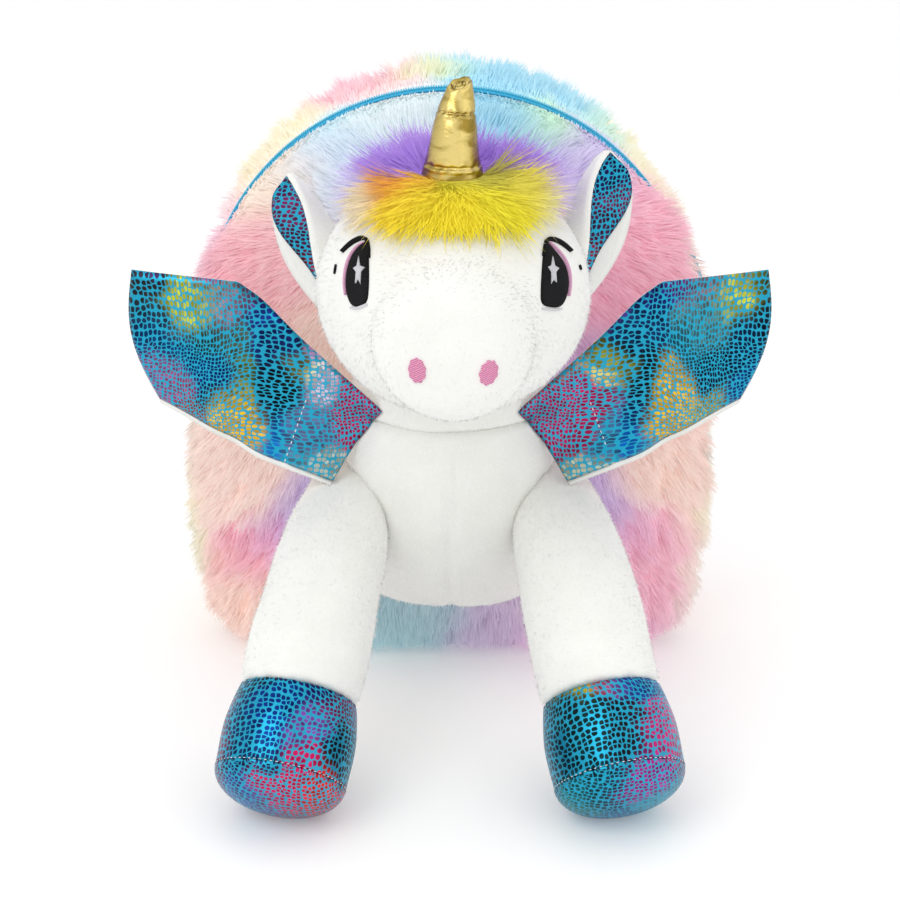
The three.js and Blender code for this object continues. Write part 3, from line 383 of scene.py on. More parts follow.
def gusset_panel():
    rows = 22
    turn = np.linspace(0, 1, 2 * HALF_COLUMNS, endpoint=False)
    share = np.where(turn <= 0.5, 2 * turn, 2 - 2 * turn)
    side = np.where(turn <= 0.5, 1, -1)
    across = np.linspace(0, 1, rows)[:, None]
    crown = np.sin(math.pi * across)
    front = FRONT_SEAM_Y + SEAM_GAP / 2 + zip_opening(share)
    depth = front + (BACK_SEAM_Y - SEAM_GAP / 2 - front) * across
    lift = SKIN_LIFT * np.minimum(2 * crown, 1) * np.ones_like(share)
    grids = []
    for grow in (lift, -BACKING * np.ones_like(depth)):
        x, z = rim(share * np.ones_like(depth), grow)
        grids.append(np.stack([side * x, depth, z], -1))
    return shell("bag_gusset_cloth", *grids, joined=True)


# Rainbow fur. The pile is tie-dyed in soft patches, so that neighbouring colours run into each other.
# Its hairs are combed away from the head and downwards, and gather into small locks.
PILE_RISE = 0.0085
PILE_LAY = 0.0095
FUR_DYE_AND_SHADE = [
    ((-0.090, -0.040, 0.258), 0.030, "fce6d0"),
    ((-0.062, -0.044, 0.268), 0.026, "d4e4f6"),
    ((-0.060, -0.040, 0.287), 0.022, "c4ecf8"),
    ((-0.030, -0.042, 0.296), 0.022, "dff0f4"),
    ((-0.104, -0.050, 0.205), 0.036, "f7a3b4"),
    ((-0.078, -0.060, 0.222), 0.022, "f6b4bb"),
    ((-0.120, -0.040, 0.225), 0.020, "f3b7d2"),
    ((-0.070, -0.066, 0.175), 0.032, "f8d6c8"),
    ((-0.062, -0.072, 0.150), 0.026, "efd2c4"),
    ((-0.110, -0.052, 0.118), 0.040, "fad7ca"),
    ((-0.106, -0.054, 0.102), 0.020, "f9d3c9"),
    ((-0.066, -0.070, 0.100), 0.018, "c6a8e4"),
    ((-0.080, -0.064, 0.092), 0.017, "bb9ade"),
    ((-0.090, -0.060, 0.078), 0.017, "e090d2"),
    ((-0.101, -0.058, 0.066), 0.018, "f58cae"),
    ((-0.112, -0.050, 0.052), 0.014, "f7a4b2"),
    ((-0.104, -0.056, 0.034), 0.028, "fbcfbe"),
    ((-0.072, -0.064, 0.030), 0.022, "fad9c6"),
    ((-0.134, -0.030, 0.092), 0.022, "f8f2c2"),
    ((-0.140, -0.018, 0.125), 0.026, "fbf6dc"),
    ((-0.138, -0.018, 0.055), 0.026, "fbf6cf"),
    ((-0.128, -0.034, 0.062), 0.016, "f9f4cc"),
    ((-0.124, -0.036, 0.200), 0.014, "fdf4ee"),
    ((0.122, -0.038, 0.222), 0.016, "fdf4e4"),
    ((0.112, -0.038, 0.246), 0.012, "fdf3d8"),
    ((0.130, -0.036, 0.185), 0.014, "fdf4e8"),
    # Low between the legs the teal and lavender patches are darker and greyer: partly the dye, partly
    # painted shade for the shadow beneath the belly.
    ((-0.024, -0.060, 0.018), 0.034, "6fb4c0"),
    ((-0.045, -0.060, 0.010), 0.020, "a5dce4"),
    ((0.020, -0.060, 0.020), 0.026, "b692c6"),
    ((0.048, -0.060, 0.014), 0.022, "eab0dc"),
    ((0.026, -0.044, 0.300), 0.022, "7fd4ef"),
    ((0.048, -0.046, 0.288), 0.020, "c2f0d0"),
    ((0.040, -0.046, 0.272), 0.016, "9adcf0"),
    ((0.068, -0.046, 0.268), 0.022, "cdbdee"),
    ((0.082, -0.048, 0.250), 0.016, "eeb2dc"),
    ((0.100, -0.046, 0.222), 0.034, "f8a3bd"),
    ((0.094, -0.054, 0.180), 0.034, "f5a4bc"),
    ((0.072, -0.062, 0.200), 0.024, "f79fc2"),
    ((0.066, -0.070, 0.165), 0.026, "cba2dc"),
    ((0.074, -0.068, 0.145), 0.020, "c09ad8"),
    ((0.120, -0.044, 0.150), 0.030, "fac9c0"),
    ((0.112, -0.052, 0.112), 0.030, "fbd5c6"),
    ((0.076, -0.068, 0.094), 0.022, "c7a3e0"),
    ((0.090, -0.062, 0.076), 0.022, "f3a0c8"),
    ((0.102, -0.056, 0.056), 0.024, "f6a4be"),
    ((0.126, -0.038, 0.058), 0.018, "fdf0e0"),
    ((0.076, -0.062, 0.030), 0.026, "f2a9cc"),
    ((0.136, -0.026, 0.108), 0.020, "c9f0de"),
    ((0.136, -0.026, 0.080), 0.024, "fbf0d0"),
    ((0.130, -0.030, 0.040), 0.022, "fbe8dc"),
    ((-0.132, 0.000, 0.150), 0.040, "fdf3ea"),
    ((-0.126, 0.000, 0.215), 0.030, "f9dbe4"),
    ((-0.100, 0.000, 0.268), 0.030, "fdf0c8"),
    ((-0.078, -0.020, 0.282), 0.022, "fdf2c4"),
    ((-0.060, 0.000, 0.300), 0.026, "fbb6c8"),
    ((-0.034, -0.018, 0.306), 0.020, "fbd0cf"),
    ((-0.012, 0.000, 0.310), 0.016, "eff2bc"),
    ((0.004, 0.004, 0.312), 0.014, "b6efe2"),
    ((0.030, 0.000, 0.308), 0.030, "7cd6f2"),
    ((0.060, 0.000, 0.296), 0.024, "8fdcf4"),
    ((0.082, -0.010, 0.280), 0.020, "c6f2e0"),
    ((0.100, 0.000, 0.262), 0.026, "fbf3cc"),
    ((0.122, 0.000, 0.228), 0.034, "fdf0d4"),
    ((0.134, 0.000, 0.170), 0.040, "fce6dc"),
    ((0.138, 0.000, 0.120), 0.030, "fdf0dc"),
    ((0.132, 0.000, 0.040), 0.040, "fbd9d6"),
    ((-0.130, 0.000, 0.050), 0.040, "fbe6d2"),
    ((0.000, 0.010, 0.002), 0.080, "e6d3e6"),
]


def add_node(tree, kind, sockets=None, **settings):
    """A node in a tree with its settings, and with a value or a link for each socket named."""
    node = tree.nodes.new(kind)
    for setting, value in settings.items():
        setattr(node, setting, value)
    for socket, value in (sockets or {}).items():
        if isinstance(value, bpy.types.NodeSocket):
            tree.links.new(value, node.inputs[socket])
        else:
            node.inputs[socket].default_value = value
    return node


def shader_group(name, inputs, outputs):
    """An empty shader node group with named inputs and outputs."""
    group = bpy.data.node_groups.new(name, "ShaderNodeTree")
    for label, kind, value in inputs:
        socket = group.interface.new_socket(label, in_out="INPUT", socket_type=kind)
        socket.default_value = value
    for label, kind in outputs:
        group.interface.new_socket(label, in_out="OUTPUT", socket_type=kind)
    return group, group.nodes.new("NodeGroupInput"), group.nodes.new("NodeGroupOutput")


def pile_group():
    """Colour of a pile: darker at the roots and paler at the tips, partly as its fibres are and partly
    painted shade deep in the pile, and uneven from lock to lock.
    """
    group, given, result = shader_group(
        "pile colour",
        [("Dye", "NodeSocketColor", (1, 1, 1, 1)), ("Depth", "NodeSocketFloat", 0.2),
         ("Patch", "NodeSocketFloat", 300.0)],
        [("Colour", "NodeSocketColor")],
    )
    links = group.links
    root = add_node(group, "ShaderNodeAttribute", attribute_name="root")
    patches = add_node(
        group, "ShaderNodeTexNoise",
        {"Detail": 3, "Vector": root.outputs["Vector"], "Scale": given.outputs["Patch"]},
    )
    rise = add_node(group, "ShaderNodeAttribute", attribute_name="rise")
    height = add_node(
        group, "ShaderNodeMath",
        {1: 0.75, 0: rise.outputs["Fac"], 2: patches.outputs["Fac"]},
        operation="MULTIPLY_ADD",
    )
    # Painted shade: towards the roots the dye is mixed into a darker, deeper copy of itself, as if shade
    # fell deep in the pile.
    dark = add_node(
        group, "ShaderNodeMath", {0: 1.3, 1: height.outputs[0]}, operation="SUBTRACT", use_clamp=True
    )
    depth = add_node(
        group, "ShaderNodeMath", {0: dark.outputs[0], 1: given.outputs["Depth"]}, operation="MULTIPLY"
    )
    deeper = add_node(
        group, "ShaderNodeMix",
        {"Factor": 1, "A": given.outputs["Dye"], "B": given.outputs["Dye"]},
        data_type="RGBA", blend_type="MULTIPLY",
    )
    dim = add_node(group, "ShaderNodeHueSaturation", {"Value": 0.72, "Color": deeper.outputs["Result"]})
    mix = add_node(
        group, "ShaderNodeMix",
        {"Factor": depth.outputs[0], "A": given.outputs["Dye"], "B": dim.outputs["Color"]},
        data_type="RGBA",
    )
    links.new(mix.outputs["Result"], result.inputs["Colour"])
    return group


pile_colour = pile_group()


def pile_material(name, depth, glow, sheen):
    """A pile whose colour is its own dye, with a little glow: painted light for the light that the hairs
    pass on.
    """
    material, tree, shader = plain_material(
        name, 0.85, Sheen_Weight=sheen, Sheen_Roughness=0.6, Emission_Strength=glow
    )
    shader.inputs["Specular IOR Level"].default_value = 0.2
    dye = add_node(tree, "ShaderNodeAttribute", attribute_name="dye")
    pile = add_node(
        tree, "ShaderNodeGroup", {"Depth": depth, "Dye": dye.outputs["Color"]}, node_tree=pile_colour
    )
    tree.links.new(pile.outputs["Colour"], shader.inputs["Base Color"])
    # Painted light: the pile's colour is also given out as a glow, though it is no lamp.
    tree.links.new(pile.outputs["Colour"], shader.inputs["Emission Color"])
    return material


def hair(name, bend, sides=3):
    """One tapered hair a unit long, closed at its root. Its attribute rise is 0 there and 1 at the tip."""
    rings = [(0.0, 1.0, 0.0)] + ([(0.55, 0.75, 0.35 * bend)] if bend else [])
    points, faces, heights = [], [], []
    for height, width, lean in rings:
        for k in range(sides):
            turn = 2 * math.pi * k / sides
            points.append((width * math.cos(turn) + lean, width * math.sin(turn), height))
            heights.append(height)
    tip = len(points)
    points.append((bend, 0, 1))
    heights.append(1)
    for k in range(sides):
        after = (k + 1) % sides
        last = tip - sides
        if bend:
            faces.append((k, after, sides + after, sides + k))
        faces.append((last + k, last + after, tip))
    faces.append(tuple(reversed(range(sides))))
    mesh = bpy.data.meshes.new(name)
    mesh.from_pydata(points, [], faces)
    store(mesh, "rise", np.array(heights), "FLOAT", "value")
    return bpy.data.objects.new(name, mesh)


def geometry_tree(name, sockets):
    """An empty tree of geometry nodes with named inputs, their identifiers, and its two ends."""
    tree = bpy.data.node_groups.new(name, "GeometryNodeTree")
    inputs = {}
    for label, kind in sockets:
        inputs[label] = tree.interface.new_socket(label, in_out="INPUT", socket_type=kind).identifier
    tree.interface.new_socket("Made", in_out="OUTPUT", socket_type="NodeSocketGeometry")
    return tree, inputs, tree.nodes.new("NodeGroupInput"), tree.nodes.new("NodeGroupOutput")


def lay_shapes(tree, result, shape, material, where):
    """Ends a tree: a shape at every point, made real and given its material."""
    source = add_node(tree, "GeometryNodeObjectInfo", {"Object": shape})
    where["Instance"] = source.outputs["Geometry"]
    spread = add_node(tree, "GeometryNodeInstanceOnPoints", where)
    real = add_node(tree, "GeometryNodeRealizeInstances", {"Geometry": spread.outputs["Instances"]})
    paint = add_node(
        tree, "GeometryNodeSetMaterial", {"Geometry": real.outputs["Geometry"], "Material": material}
    )
    tree.links.new(paint.outputs["Geometry"], result.inputs["Made"])


def hair_tree():
    """Geometry Nodes that plant hairs over a skin along its attribute comb."""
    tree, inputs, given, result = geometry_tree("planted hairs", (
        ("Skin", "NodeSocketGeometry"), ("Hair", "NodeSocketObject"), ("Density", "NodeSocketFloat"),
        ("Width", "NodeSocketFloat"), ("Stray", "NodeSocketFloat"), ("Seed", "NodeSocketInt"),
        ("Material", "NodeSocketMaterial"),
    ))
    links = tree.links

    def named(attribute, kind):
        node = add_node(tree, "GeometryNodeInputNamedAttribute", {"Name": attribute}, data_type=kind)
        return node.outputs["Attribute"]

    def random_value(kind, low, high, shift):
        node = add_node(tree, "FunctionNodeRandomValue", data_type=kind)
        bounds = [s for s in node.inputs if s.enabled and s.name in ("Min", "Max")]
        bounds[0].default_value, bounds[1].default_value = low, high
        seed = add_node(tree, "ShaderNodeMath", {1: shift, 0: given.outputs["Seed"]})
        links.new(seed.outputs[0], node.inputs["Seed"])
        return next(s for s in node.outputs if s.enabled)

    plant = add_node(tree, "GeometryNodeDistributePointsOnFaces", {"Mesh": given.outputs["Skin"]})
    density = add_node(
        tree, "ShaderNodeMath",
        {0: given.outputs["Density"], 1: named("cover", "FLOAT")},
        operation="MULTIPLY",
    )
    links.new(density.outputs[0], plant.inputs["Density"])
    links.new(given.outputs["Seed"], plant.inputs["Seed"])
    keep = add_node(
        tree, "GeometryNodeStoreNamedAttribute",
        {"Name": "lie", "Geometry": plant.outputs["Points"], "Value": plant.outputs["Normal"]},
        data_type="FLOAT_VECTOR",
    )

    spot = add_node(tree, "GeometryNodeInputPosition")
    rooted = add_node(
        tree, "GeometryNodeStoreNamedAttribute",
        {"Name": "root", "Geometry": keep.outputs["Geometry"], "Value": spot.outputs["Position"]},
        data_type="FLOAT_VECTOR",
    )

    comb = named("comb", "FLOAT_VECTOR")
    length = add_node(tree, "ShaderNodeVectorMath", {0: comb}, operation="LENGTH")
    stray = add_node(
        tree, "ShaderNodeMath",
        {0: length.outputs["Value"], 1: given.outputs["Stray"]},
        operation="MULTIPLY",
    )
    off = add_node(
        tree, "ShaderNodeVectorMath",
        {0: random_value("FLOAT_VECTOR", (-1, -1, -1), (1, 1, 1), 1), "Scale": stray.outputs[0]},
        operation="SCALE",
    )
    way = add_node(tree, "ShaderNodeVectorMath", {0: comb, 1: off.outputs[0]})
    align = add_node(tree, "FunctionNodeAlignRotationToVector", {"Vector": way.outputs[0]}, axis="Z")
    roll = add_node(
        tree, "FunctionNodeAxisAngleToRotation",
        {"Axis": (0, 0, 1), "Angle": random_value("FLOAT", 0, 2 * math.pi, 2)},
    )
    turned = add_node(
        tree, "FunctionNodeRotateRotation",
        {0: align.outputs[0], 1: roll.outputs[0]},
        rotation_space="LOCAL",
    )
    tall = add_node(
        tree, "ShaderNodeMath",
        {0: length.outputs["Value"], 1: random_value("FLOAT", 0.7, 1.15, 3)},
        operation="MULTIPLY",
    )
    size = add_node(
        tree, "ShaderNodeCombineXYZ",
        {"X": given.outputs["Width"], "Y": given.outputs["Width"], "Z": tall.outputs[0]},
    )
    lay_shapes(tree, result, given.outputs["Hair"], given.outputs["Material"], {
        "Points": rooted.outputs["Geometry"], "Rotation": turned.outputs[0], "Scale": size.outputs[0],
    })
    return tree, inputs


planted_hairs, hair_inputs = hair_tree()
HAIR_FLOOR = 0.0002


def baked(holder, name):
    """The mesh that an object's modifiers make of it. The object goes."""
    bpy.context.view_layer.update()
    made = bpy.data.meshes.new_from_object(holder.evaluated_get(bpy.context.evaluated_depsgraph_get()))
    bpy.data.objects.remove(holder)
    made.name = name
    made.shade_smooth()
    return made


def grow_hairs(name, skin, strand, material, density, width, stray, seed, softness=0.7):
    """Plants hairs on a skin mesh and returns them as one plain piece, shaded softly like the skin."""
    holder = new_object(name + "_skin", skin)
    grower = holder.modifiers.new("hairs", "NODES")
    grower.node_group = planted_hairs
    for label, value in (
        ("Hair", strand), ("Density", density), ("Width", width), ("Stray", stray), ("Seed", seed),
        ("Material", material),
    ):
        grower[hair_inputs[label]] = value
    mesh = baked(holder, name)
    places, own = mesh_arrays(mesh)
    places[:, 2] = np.maximum(places[:, 2], HAIR_FLOOR)
    mesh.vertices.foreach_set("co", places.ravel())
    lie = np.empty(len(mesh.vertices) * 3, np.float32)
    mesh.attributes["lie"].data.foreach_get("vector", lie)
    soft = unit(softness * lie.reshape(-1, 3) + (1 - softness) * own)
    mesh.normals_split_custom_set_from_vertices(soft.tolist())
    for spare in ("lie", "comb", "cover"):
        if spare in mesh.attributes:
            mesh.attributes.remove(mesh.attributes[spare])
    return new_object(name, mesh)


def gather(places, tips, radius, pull, seed):
    """Draws the tips of neighbouring hairs together into locks about radius wide."""
    chance = np.random.default_rng(seed)
    spare = list(chance.permutation(len(places)))
    centres = []
    tree = kdtree.KDTree(len(places))
    for k, p in enumerate(places):
        tree.insert(p, k)
    tree.balance()
    free = np.ones(len(places), bool)
    for k in spare:
        if free[k]:
            centres.append(k)
            for _, other, _ in tree.find_range(places[k], radius):
                free[other] = False
    heads = kdtree.KDTree(len(centres))
    for k in centres:
        heads.insert(places[k], k)
    heads.balance()
    chosen = np.array([heads.find(p)[1] for p in places])
    reach = 1 + 0.22 * chance.standard_normal(len(places))[chosen]
    drawn = places[chosen] + tips[chosen] * reach[:, None]
    return tips * (1 - pull) + (drawn - places) * pull


# The rainbow fur's root shade of 0.75 is painted shade, and its glow of 0.30 is painted light.
fur_material = pile_material("rainbow fur", 0.75, 0.30, 0.1)
fur_hair = hair("fur hair", 0)
FUR_DENSITY = 935000
FUR_WIDTH = 0.00055
FUR_STRAY = 0.22
FUR_SOFTNESS = 0.62
FUR_MARBLE = 0.009
COMB_CENTRE_HEIGHT = 0.215
LOCK_RADIUS = 0.0056
LOCK_PULL = 0.55
GUSSET_DENSITY = 600000
ZIP_FUR_REACH = 0.023
ZIP_HIDDEN_BELOW = {"left": 0.240, "right": 0.260}
DYE_PALENESS = 0.30


def comb_fur(mesh, seed):
    """Stores on the bag's skin how its pile lies, how thick it stands and what colour it is dyed, with
    painted shade low between the legs.
    """
    places, normals = mesh_arrays(mesh)
    x, y, z = places.T
    away = unit(np.stack([x, 0 * x, z - COMB_CENTRE_HEIGHT], 1))
    down = np.array([0, 0, -0.75]) * (1 - smooth(z, 0.20, 0.275))[:, None]
    side_share = smooth(y, FRONT_SEAM_Y - 0.002, FRONT_SEAM_Y + 0.010)[:, None]
    angle = np.degrees(np.arctan2(z - ARCH_HEIGHT, np.abs(x)))
    arch = smooth(angle, ZIP_END_ANGLE - 4, ZIP_END_ANGLE + 2)
    from_zip = np.abs(y - FRONT_SEAM_Y) - ZIP_SETBACK
    hidden = np.where(x < 0, ZIP_HIDDEN_BELOW["left"], ZIP_HIDDEN_BELOW["right"])
    near_zip = arch * (1 - smooth(from_zip, 0.005, ZIP_FUR_REACH))
    near_zip = near_zip * smooth(z, hidden - 0.014, hidden + 0.003)
    inwards = unit(np.stack([-x, 0 * x, ARCH_HEIGHT - z], 1))
    parted = inwards * (1 - side_share) + np.array([0, 1, 0]) * side_share
    flow = (away + down) * (1 - side_share) + np.array([0, 0.35, -0.25]) * side_share
    flow += 0.35 * wander(places, 0.035, seed)
    flow = flow * (1 - near_zip[:, None]) + parted * near_zip[:, None]
    flow = unit(flow - normals * np.sum(flow * normals, axis=1, keepdims=True))
    inside = (np.sum(normals * (places - np.array([0, 0, 0.15])), axis=1) < 0) | (
        (np.abs(x) < 0.001) & (y > FRONT_SEAM_Y - DOME_DEPTH - SKIN_LIFT) & (y < FRONT_SEAM_Y)
    )
    pressed = 1 - smooth(
        np.hypot(x / PRESSED_HALF_WIDTH, (z - PRESSED_CENTRE_HEIGHT) / PRESSED_HALF_HEIGHT), 0.85, 1.05
    )
    pressed *= y < FRONT_SEAM_Y
    near_floor = 1 - smooth(z, 0.006, 0.030)
    full = 1 - 0.5 * pressed
    rise = PILE_RISE * full * (1 - 0.88 * near_zip) * (1 - 0.75 * near_floor)
    lay = PILE_LAY * full * (1 - 0.55 * near_zip)
    tips = normals * rise[:, None] + flow * lay[:, None]
    locks = gather(places, tips, LOCK_RADIUS, LOCK_PULL, seed)
    comb = locks + (tips - locks) * near_zip[:, None]
    comb[:, 2] = np.maximum(comb[:, 2], 0.0006 - z)
    store(mesh, "comb", comb)
    store(mesh, "root", places)
    store(mesh, "cover", np.where(inside, 0, 1 - 0.8 * pressed), "FLOAT", "value")
    store(mesh, "rise", np.zeros(len(places)), "FLOAT", "value")
    dye = zone_colours(places, FUR_DYE_AND_SHADE, FUR_MARBLE, 5)
    store(mesh, "dye", dye + (1 - dye) * DYE_PALENESS, "FLOAT_COLOR", "color")


def fur_piece(mesh, node, seed, density=FUR_DENSITY):
    comb_fur(mesh, seed)
    cloth = new_object(mesh.name, mesh)
    mesh.materials.append(fur_material)
    fur = grow_hairs(
        node + "_fur", mesh.copy(), fur_hair, fur_material, density, FUR_WIDTH, FUR_STRAY, seed,
        FUR_SOFTNESS,
    )
    return settle(cloth, node), settle(fur)


for side, word in SIDES:
    cloth, fur = fur_piece(front_panel(side), f"bag_front_{word}", 11 + side)
cloth, fur = fur_piece(gusset_panel(), "bag_gusset", 21, GUSSET_DENSITY)

# White plush body. Head, neck, chest and legs are short-napped white plush, stuffed firm and sewn to the
# front of the bag. The head's back and the leg roots are drawn in against it by hand stitches.
HEAD_BACK_Y = -0.066
NOSE_Y = -0.253
HEAD_HALF_WIDTH = 0.065
HEAD_HALF_HEIGHT = 0.057
HEAD_HEIGHT = 0.225
HEAD_DROP = 0.003
HEAD_SHIFT = 0.0015
HEAD = {
    "at": (0.0, 0.05, 0.14, 0.27, 0.40, 0.52, 0.62, 0.70, 0.78, 0.87, 0.94, 0.98, 1.0),
    "width": (0.0, 0.53, 0.80, 0.95, 1.0, 0.96, 0.83, 0.67, 0.57, 0.54, 0.47, 0.30, 0.0),
    "height": (0.0, 0.55, 0.82, 0.96, 1.0, 0.96, 0.84, 0.71, 0.61, 0.58, 0.50, 0.32, 0.0),
    "drop": (-0.5, -0.5, -0.4, -0.2, 0.0, 0.2, 0.3, 0.4, 0.5, 0.6, 0.8, 0.9, 1.0),
}
HEAD_SEAT_Y = -0.078
NECK_SEAM_HEIGHT = 0.151
CHEST_SEAM_DEPTH = 0.0014
CHEST_SEAM_SPREAD = 0.0024
PLUSH_WHITE = (0.87, 0.87, 0.835)
PLUSH_SHADE = (0.83, 0.83, 0.795)
NAP_LENGTH = 0.0019
NAP_WIDTH = 0.00022
NAP_DENSITY = 125000
NAP_STRAY = 0.35
NAP_SOFTNESS = 0.95
NAP_STARTS_Y = -0.080
HEAD_NAP_STARTS_Y = -0.085
REMESH_SIZE = 0.0023
SMOOTH_ROUNDS = 10
SMOOTH_LOSS = 0.0010
STUFFING_LUMP = 0.035
STUFFING_RISE = 0.0014
BODY_PARTS = (("neck", 41, 0.8), ("chest", 42, 0.8), ("leg_left", 43, 0.85), ("leg_right", 44, 0.85))
EMBROIDERED = [
    ((358, 274), (23, 42)), ((555, 274), (23, 42)), ((336, 269), (5, 10)), ((580, 268), (5, 8)),
    ((417.2, 370.5), (12, 16)), ((488.6, 372.6), (12, 16)),
]


def loft(name, rings):
    """A closed form from rings of places. Rings that shrink to a point close it."""
    rows, columns = rings.shape[:2]
    faces = [
        (j * columns + i, j * columns + (i + 1) % columns,
         (j + 1) * columns + (i + 1) % columns, (j + 1) * columns + i)
        for j in range(rows - 1) for i in range(columns)
    ]
    mesh = bpy.data.meshes.new(name)
    mesh.from_pydata(rings.reshape(-1, 3).tolist(), [], faces)
    return close_mesh(mesh)


def cap(ring):
    """A ring drawn together to its middle, which closes a loft."""
    return ring.mean(axis=1, keepdims=True) * np.ones_like(ring)


def lumps(places, size, height, seed):
    """A soft unevenness of stuffing, as heights at places."""
    shift = Vector((seed * 5.1, -seed * 2.3, seed * 0.7))
    return height * np.array([noise.noise(Vector(p) / size + shift) for p in places])


def move_points(mesh, places):
    mesh.vertices.foreach_set("co", places.ravel())
    mesh.update()


def puff(mesh, size, height, seed):
    """Moves a stuffed form's skin in and out a little, as its filling does."""
    places, normals = mesh_arrays(mesh)
    places += normals * lumps(places, size, height, seed)[:, None]
    move_points(mesh, places)


def head_skin():
    share = 0.5 - 0.5 * np.cos(math.pi * np.linspace(0, 1, 84))[:, None]
    turn = np.linspace(0, 2 * math.pi, 112, endpoint=False)[None, :]
    width = HEAD_HALF_WIDTH * column(HEAD, "width", share)
    height = HEAD_HALF_HEIGHT * column(HEAD, "height", share)
    middle = HEAD_HEIGHT - HEAD_DROP * column(HEAD, "drop", share)
    depth = HEAD_BACK_Y + (NOSE_Y - HEAD_BACK_Y) * share
    rings = np.stack([
        HEAD_SHIFT + width * np.cos(turn),
        np.minimum(depth, HEAD_SEAT_Y) * np.ones_like(turn),
        middle + height * np.sin(turn),
    ], -1)
    mesh = loft("head_plush", rings)
    puff(mesh, 0.034, 0.0007, 3)
    return mesh


def add_relief(tree, shader, height, strength, depth):
    """Raises a material's surface where a height is high."""
    bump = add_node(tree, "ShaderNodeBump", {"Strength": strength, "Distance": depth, "Height": height})
    tree.links.new(bump.outputs["Normal"], shader.inputs["Normal"])


def add_tones(tree, shader, share, low, high):
    """Colours a material between two tones by a share."""
    tone = add_node(
        tree, "ShaderNodeMix", {"A": (*low, 1), "B": (*high, 1), "Factor": share}, data_type="RGBA"
    )
    tree.links.new(tone.outputs["Result"], shader.inputs["Base Color"])


def nap_material():
    """White plush: a short dense nap that shows as a fine grain with a soft sheen at its edges."""
    material, tree, shader = plain_material(
        "white plush", 0.9, PLUSH_WHITE, Sheen_Weight=0.3, Sheen_Roughness=0.5, Specular_IOR_Level=0.2
    )
    links = tree.links
    place = add_node(tree, "ShaderNodeTexCoord")
    grain = add_node(tree, "ShaderNodeTexNoise", {"Scale": 900, "Detail": 4})
    sweep = add_node(tree, "ShaderNodeTexNoise", {"Scale": 70, "Detail": 3})
    for texture in (grain, sweep):
        links.new(place.outputs["Object"], texture.inputs["Vector"])
    both = add_node(
        tree, "ShaderNodeMath",
        {1: 0.4, 0: grain.outputs["Fac"], 2: sweep.outputs["Fac"]},
        operation="MULTIPLY_ADD",
    )
    tone = add_node(
        tree, "ShaderNodeMapRange", {"From Min": 0.45, "From Max": 0.95, "Value": both.outputs[0]}
    )
    add_tones(tree, shader, tone.outputs["Result"], PLUSH_SHADE, PLUSH_WHITE)
    add_relief(tree, shader, both.outputs[0], 0.3, 0.0005)
    return material


plush_material = nap_material()
nap_hair = hair("nap hair", 0)
# The nap hairs glow a little: painted light that keeps them from showing darker than the skin beneath.
nap_hair_material, _, _ = plain_material(
    "plush nap", 0.9, (0.84, 0.84, 0.81), Emission_Color=(1, 1, 0.97, 1), Emission_Strength=0.13
)


def nap_on(name, mesh, cover, seed, density=NAP_DENSITY):
    """The nap of a plush skin: very short hairs that lie a little downwards."""
    skin = mesh.copy()
    places, normals = mesh_arrays(skin)
    lay = np.array([0, 0, -0.6]) + 0.5 * wander(places, 0.020, seed)
    flow = unit(lay - normals * np.sum(lay * normals, axis=1, keepdims=True))
    store(skin, "comb", unit(normals * 0.75 + flow * 0.65) * NAP_LENGTH)
    store(skin, "cover", cover(places), "FLOAT", "value")
    nap = grow_hairs(
        name, skin, nap_hair, nap_hair_material, density, NAP_WIDTH, NAP_STRAY, seed, NAP_SOFTNESS
    )
    nap.visible_shadow = False
    nap.visible_diffuse = False
    return nap


def plush_piece(name, mesh, node, cover, seed, density=NAP_DENSITY):
    """Dresses a plush skin with its material and nap, in place of its node."""
    mesh.materials.append(plush_material)
    piece = new_object(name, mesh)
    settle(piece, node)
    settle(nap_on(node + "_nap", mesh, cover, seed, density))


def before(depth):
    """Nap stands only before a depth, where the bag doesn't hide it."""
    return lambda places: (places[:, 1] < depth).astype(float)


def covered(places):
    return np.ones(len(places))


def bare_stitches(places):
    """No nap stands where the face is embroidered, given by patches of the camera's view."""
    turn = np.array(camera.rotation_euler.to_matrix())
    seen_from = (places - CAMERA_PLACE) @ turn
    u = VIEW_MIDDLE + VIEW_FOCUS * seen_from[:, 0] / -seen_from[:, 2]
    v = VIEW_MIDDLE - VIEW_FOCUS * seen_from[:, 1] / -seen_from[:, 2]
    cover = before(HEAD_NAP_STARTS_Y)(places)
    for centre, half in EMBROIDERED:
        cover *= np.hypot((u - centre[0]) / half[0], (v - centre[1]) / half[1]) > 1
    return cover


head_mesh = head_skin()
head_tree = BVHTree.FromPolygons(
    [v.co.copy() for v in head_mesh.vertices], [tuple(p.vertices) for p in head_mesh.polygons]
)
plush_piece("head_plush", head_mesh, "head", bare_stitches, 31)


def node_copy(node, name, voxel, rounds, swell):
    """A finer, rounder copy of a node's solid: remeshed, smoothed, and let out again by swell."""
    work = bmesh.new()
    work.from_mesh(frame["nodes"][node].data)
    bmesh.ops.remove_doubles(work, verts=work.verts, dist=1e-6)
    mesh = bpy.data.meshes.new(name)
    work.to_mesh(mesh)
    work.free()
    holder = new_object(name + "_work", mesh)
    remesh = holder.modifiers.new("remesh", "REMESH")
    remesh.mode = "VOXEL"
    remesh.voxel_size = voxel
    relax = holder.modifiers.new("relax", "CORRECTIVE_SMOOTH")
    relax.iterations = rounds
    relax.use_only_smooth = True
    made = baked(holder, name)
    places, normals = mesh_arrays(made)
    move_points(made, places + normals * swell)
    return made


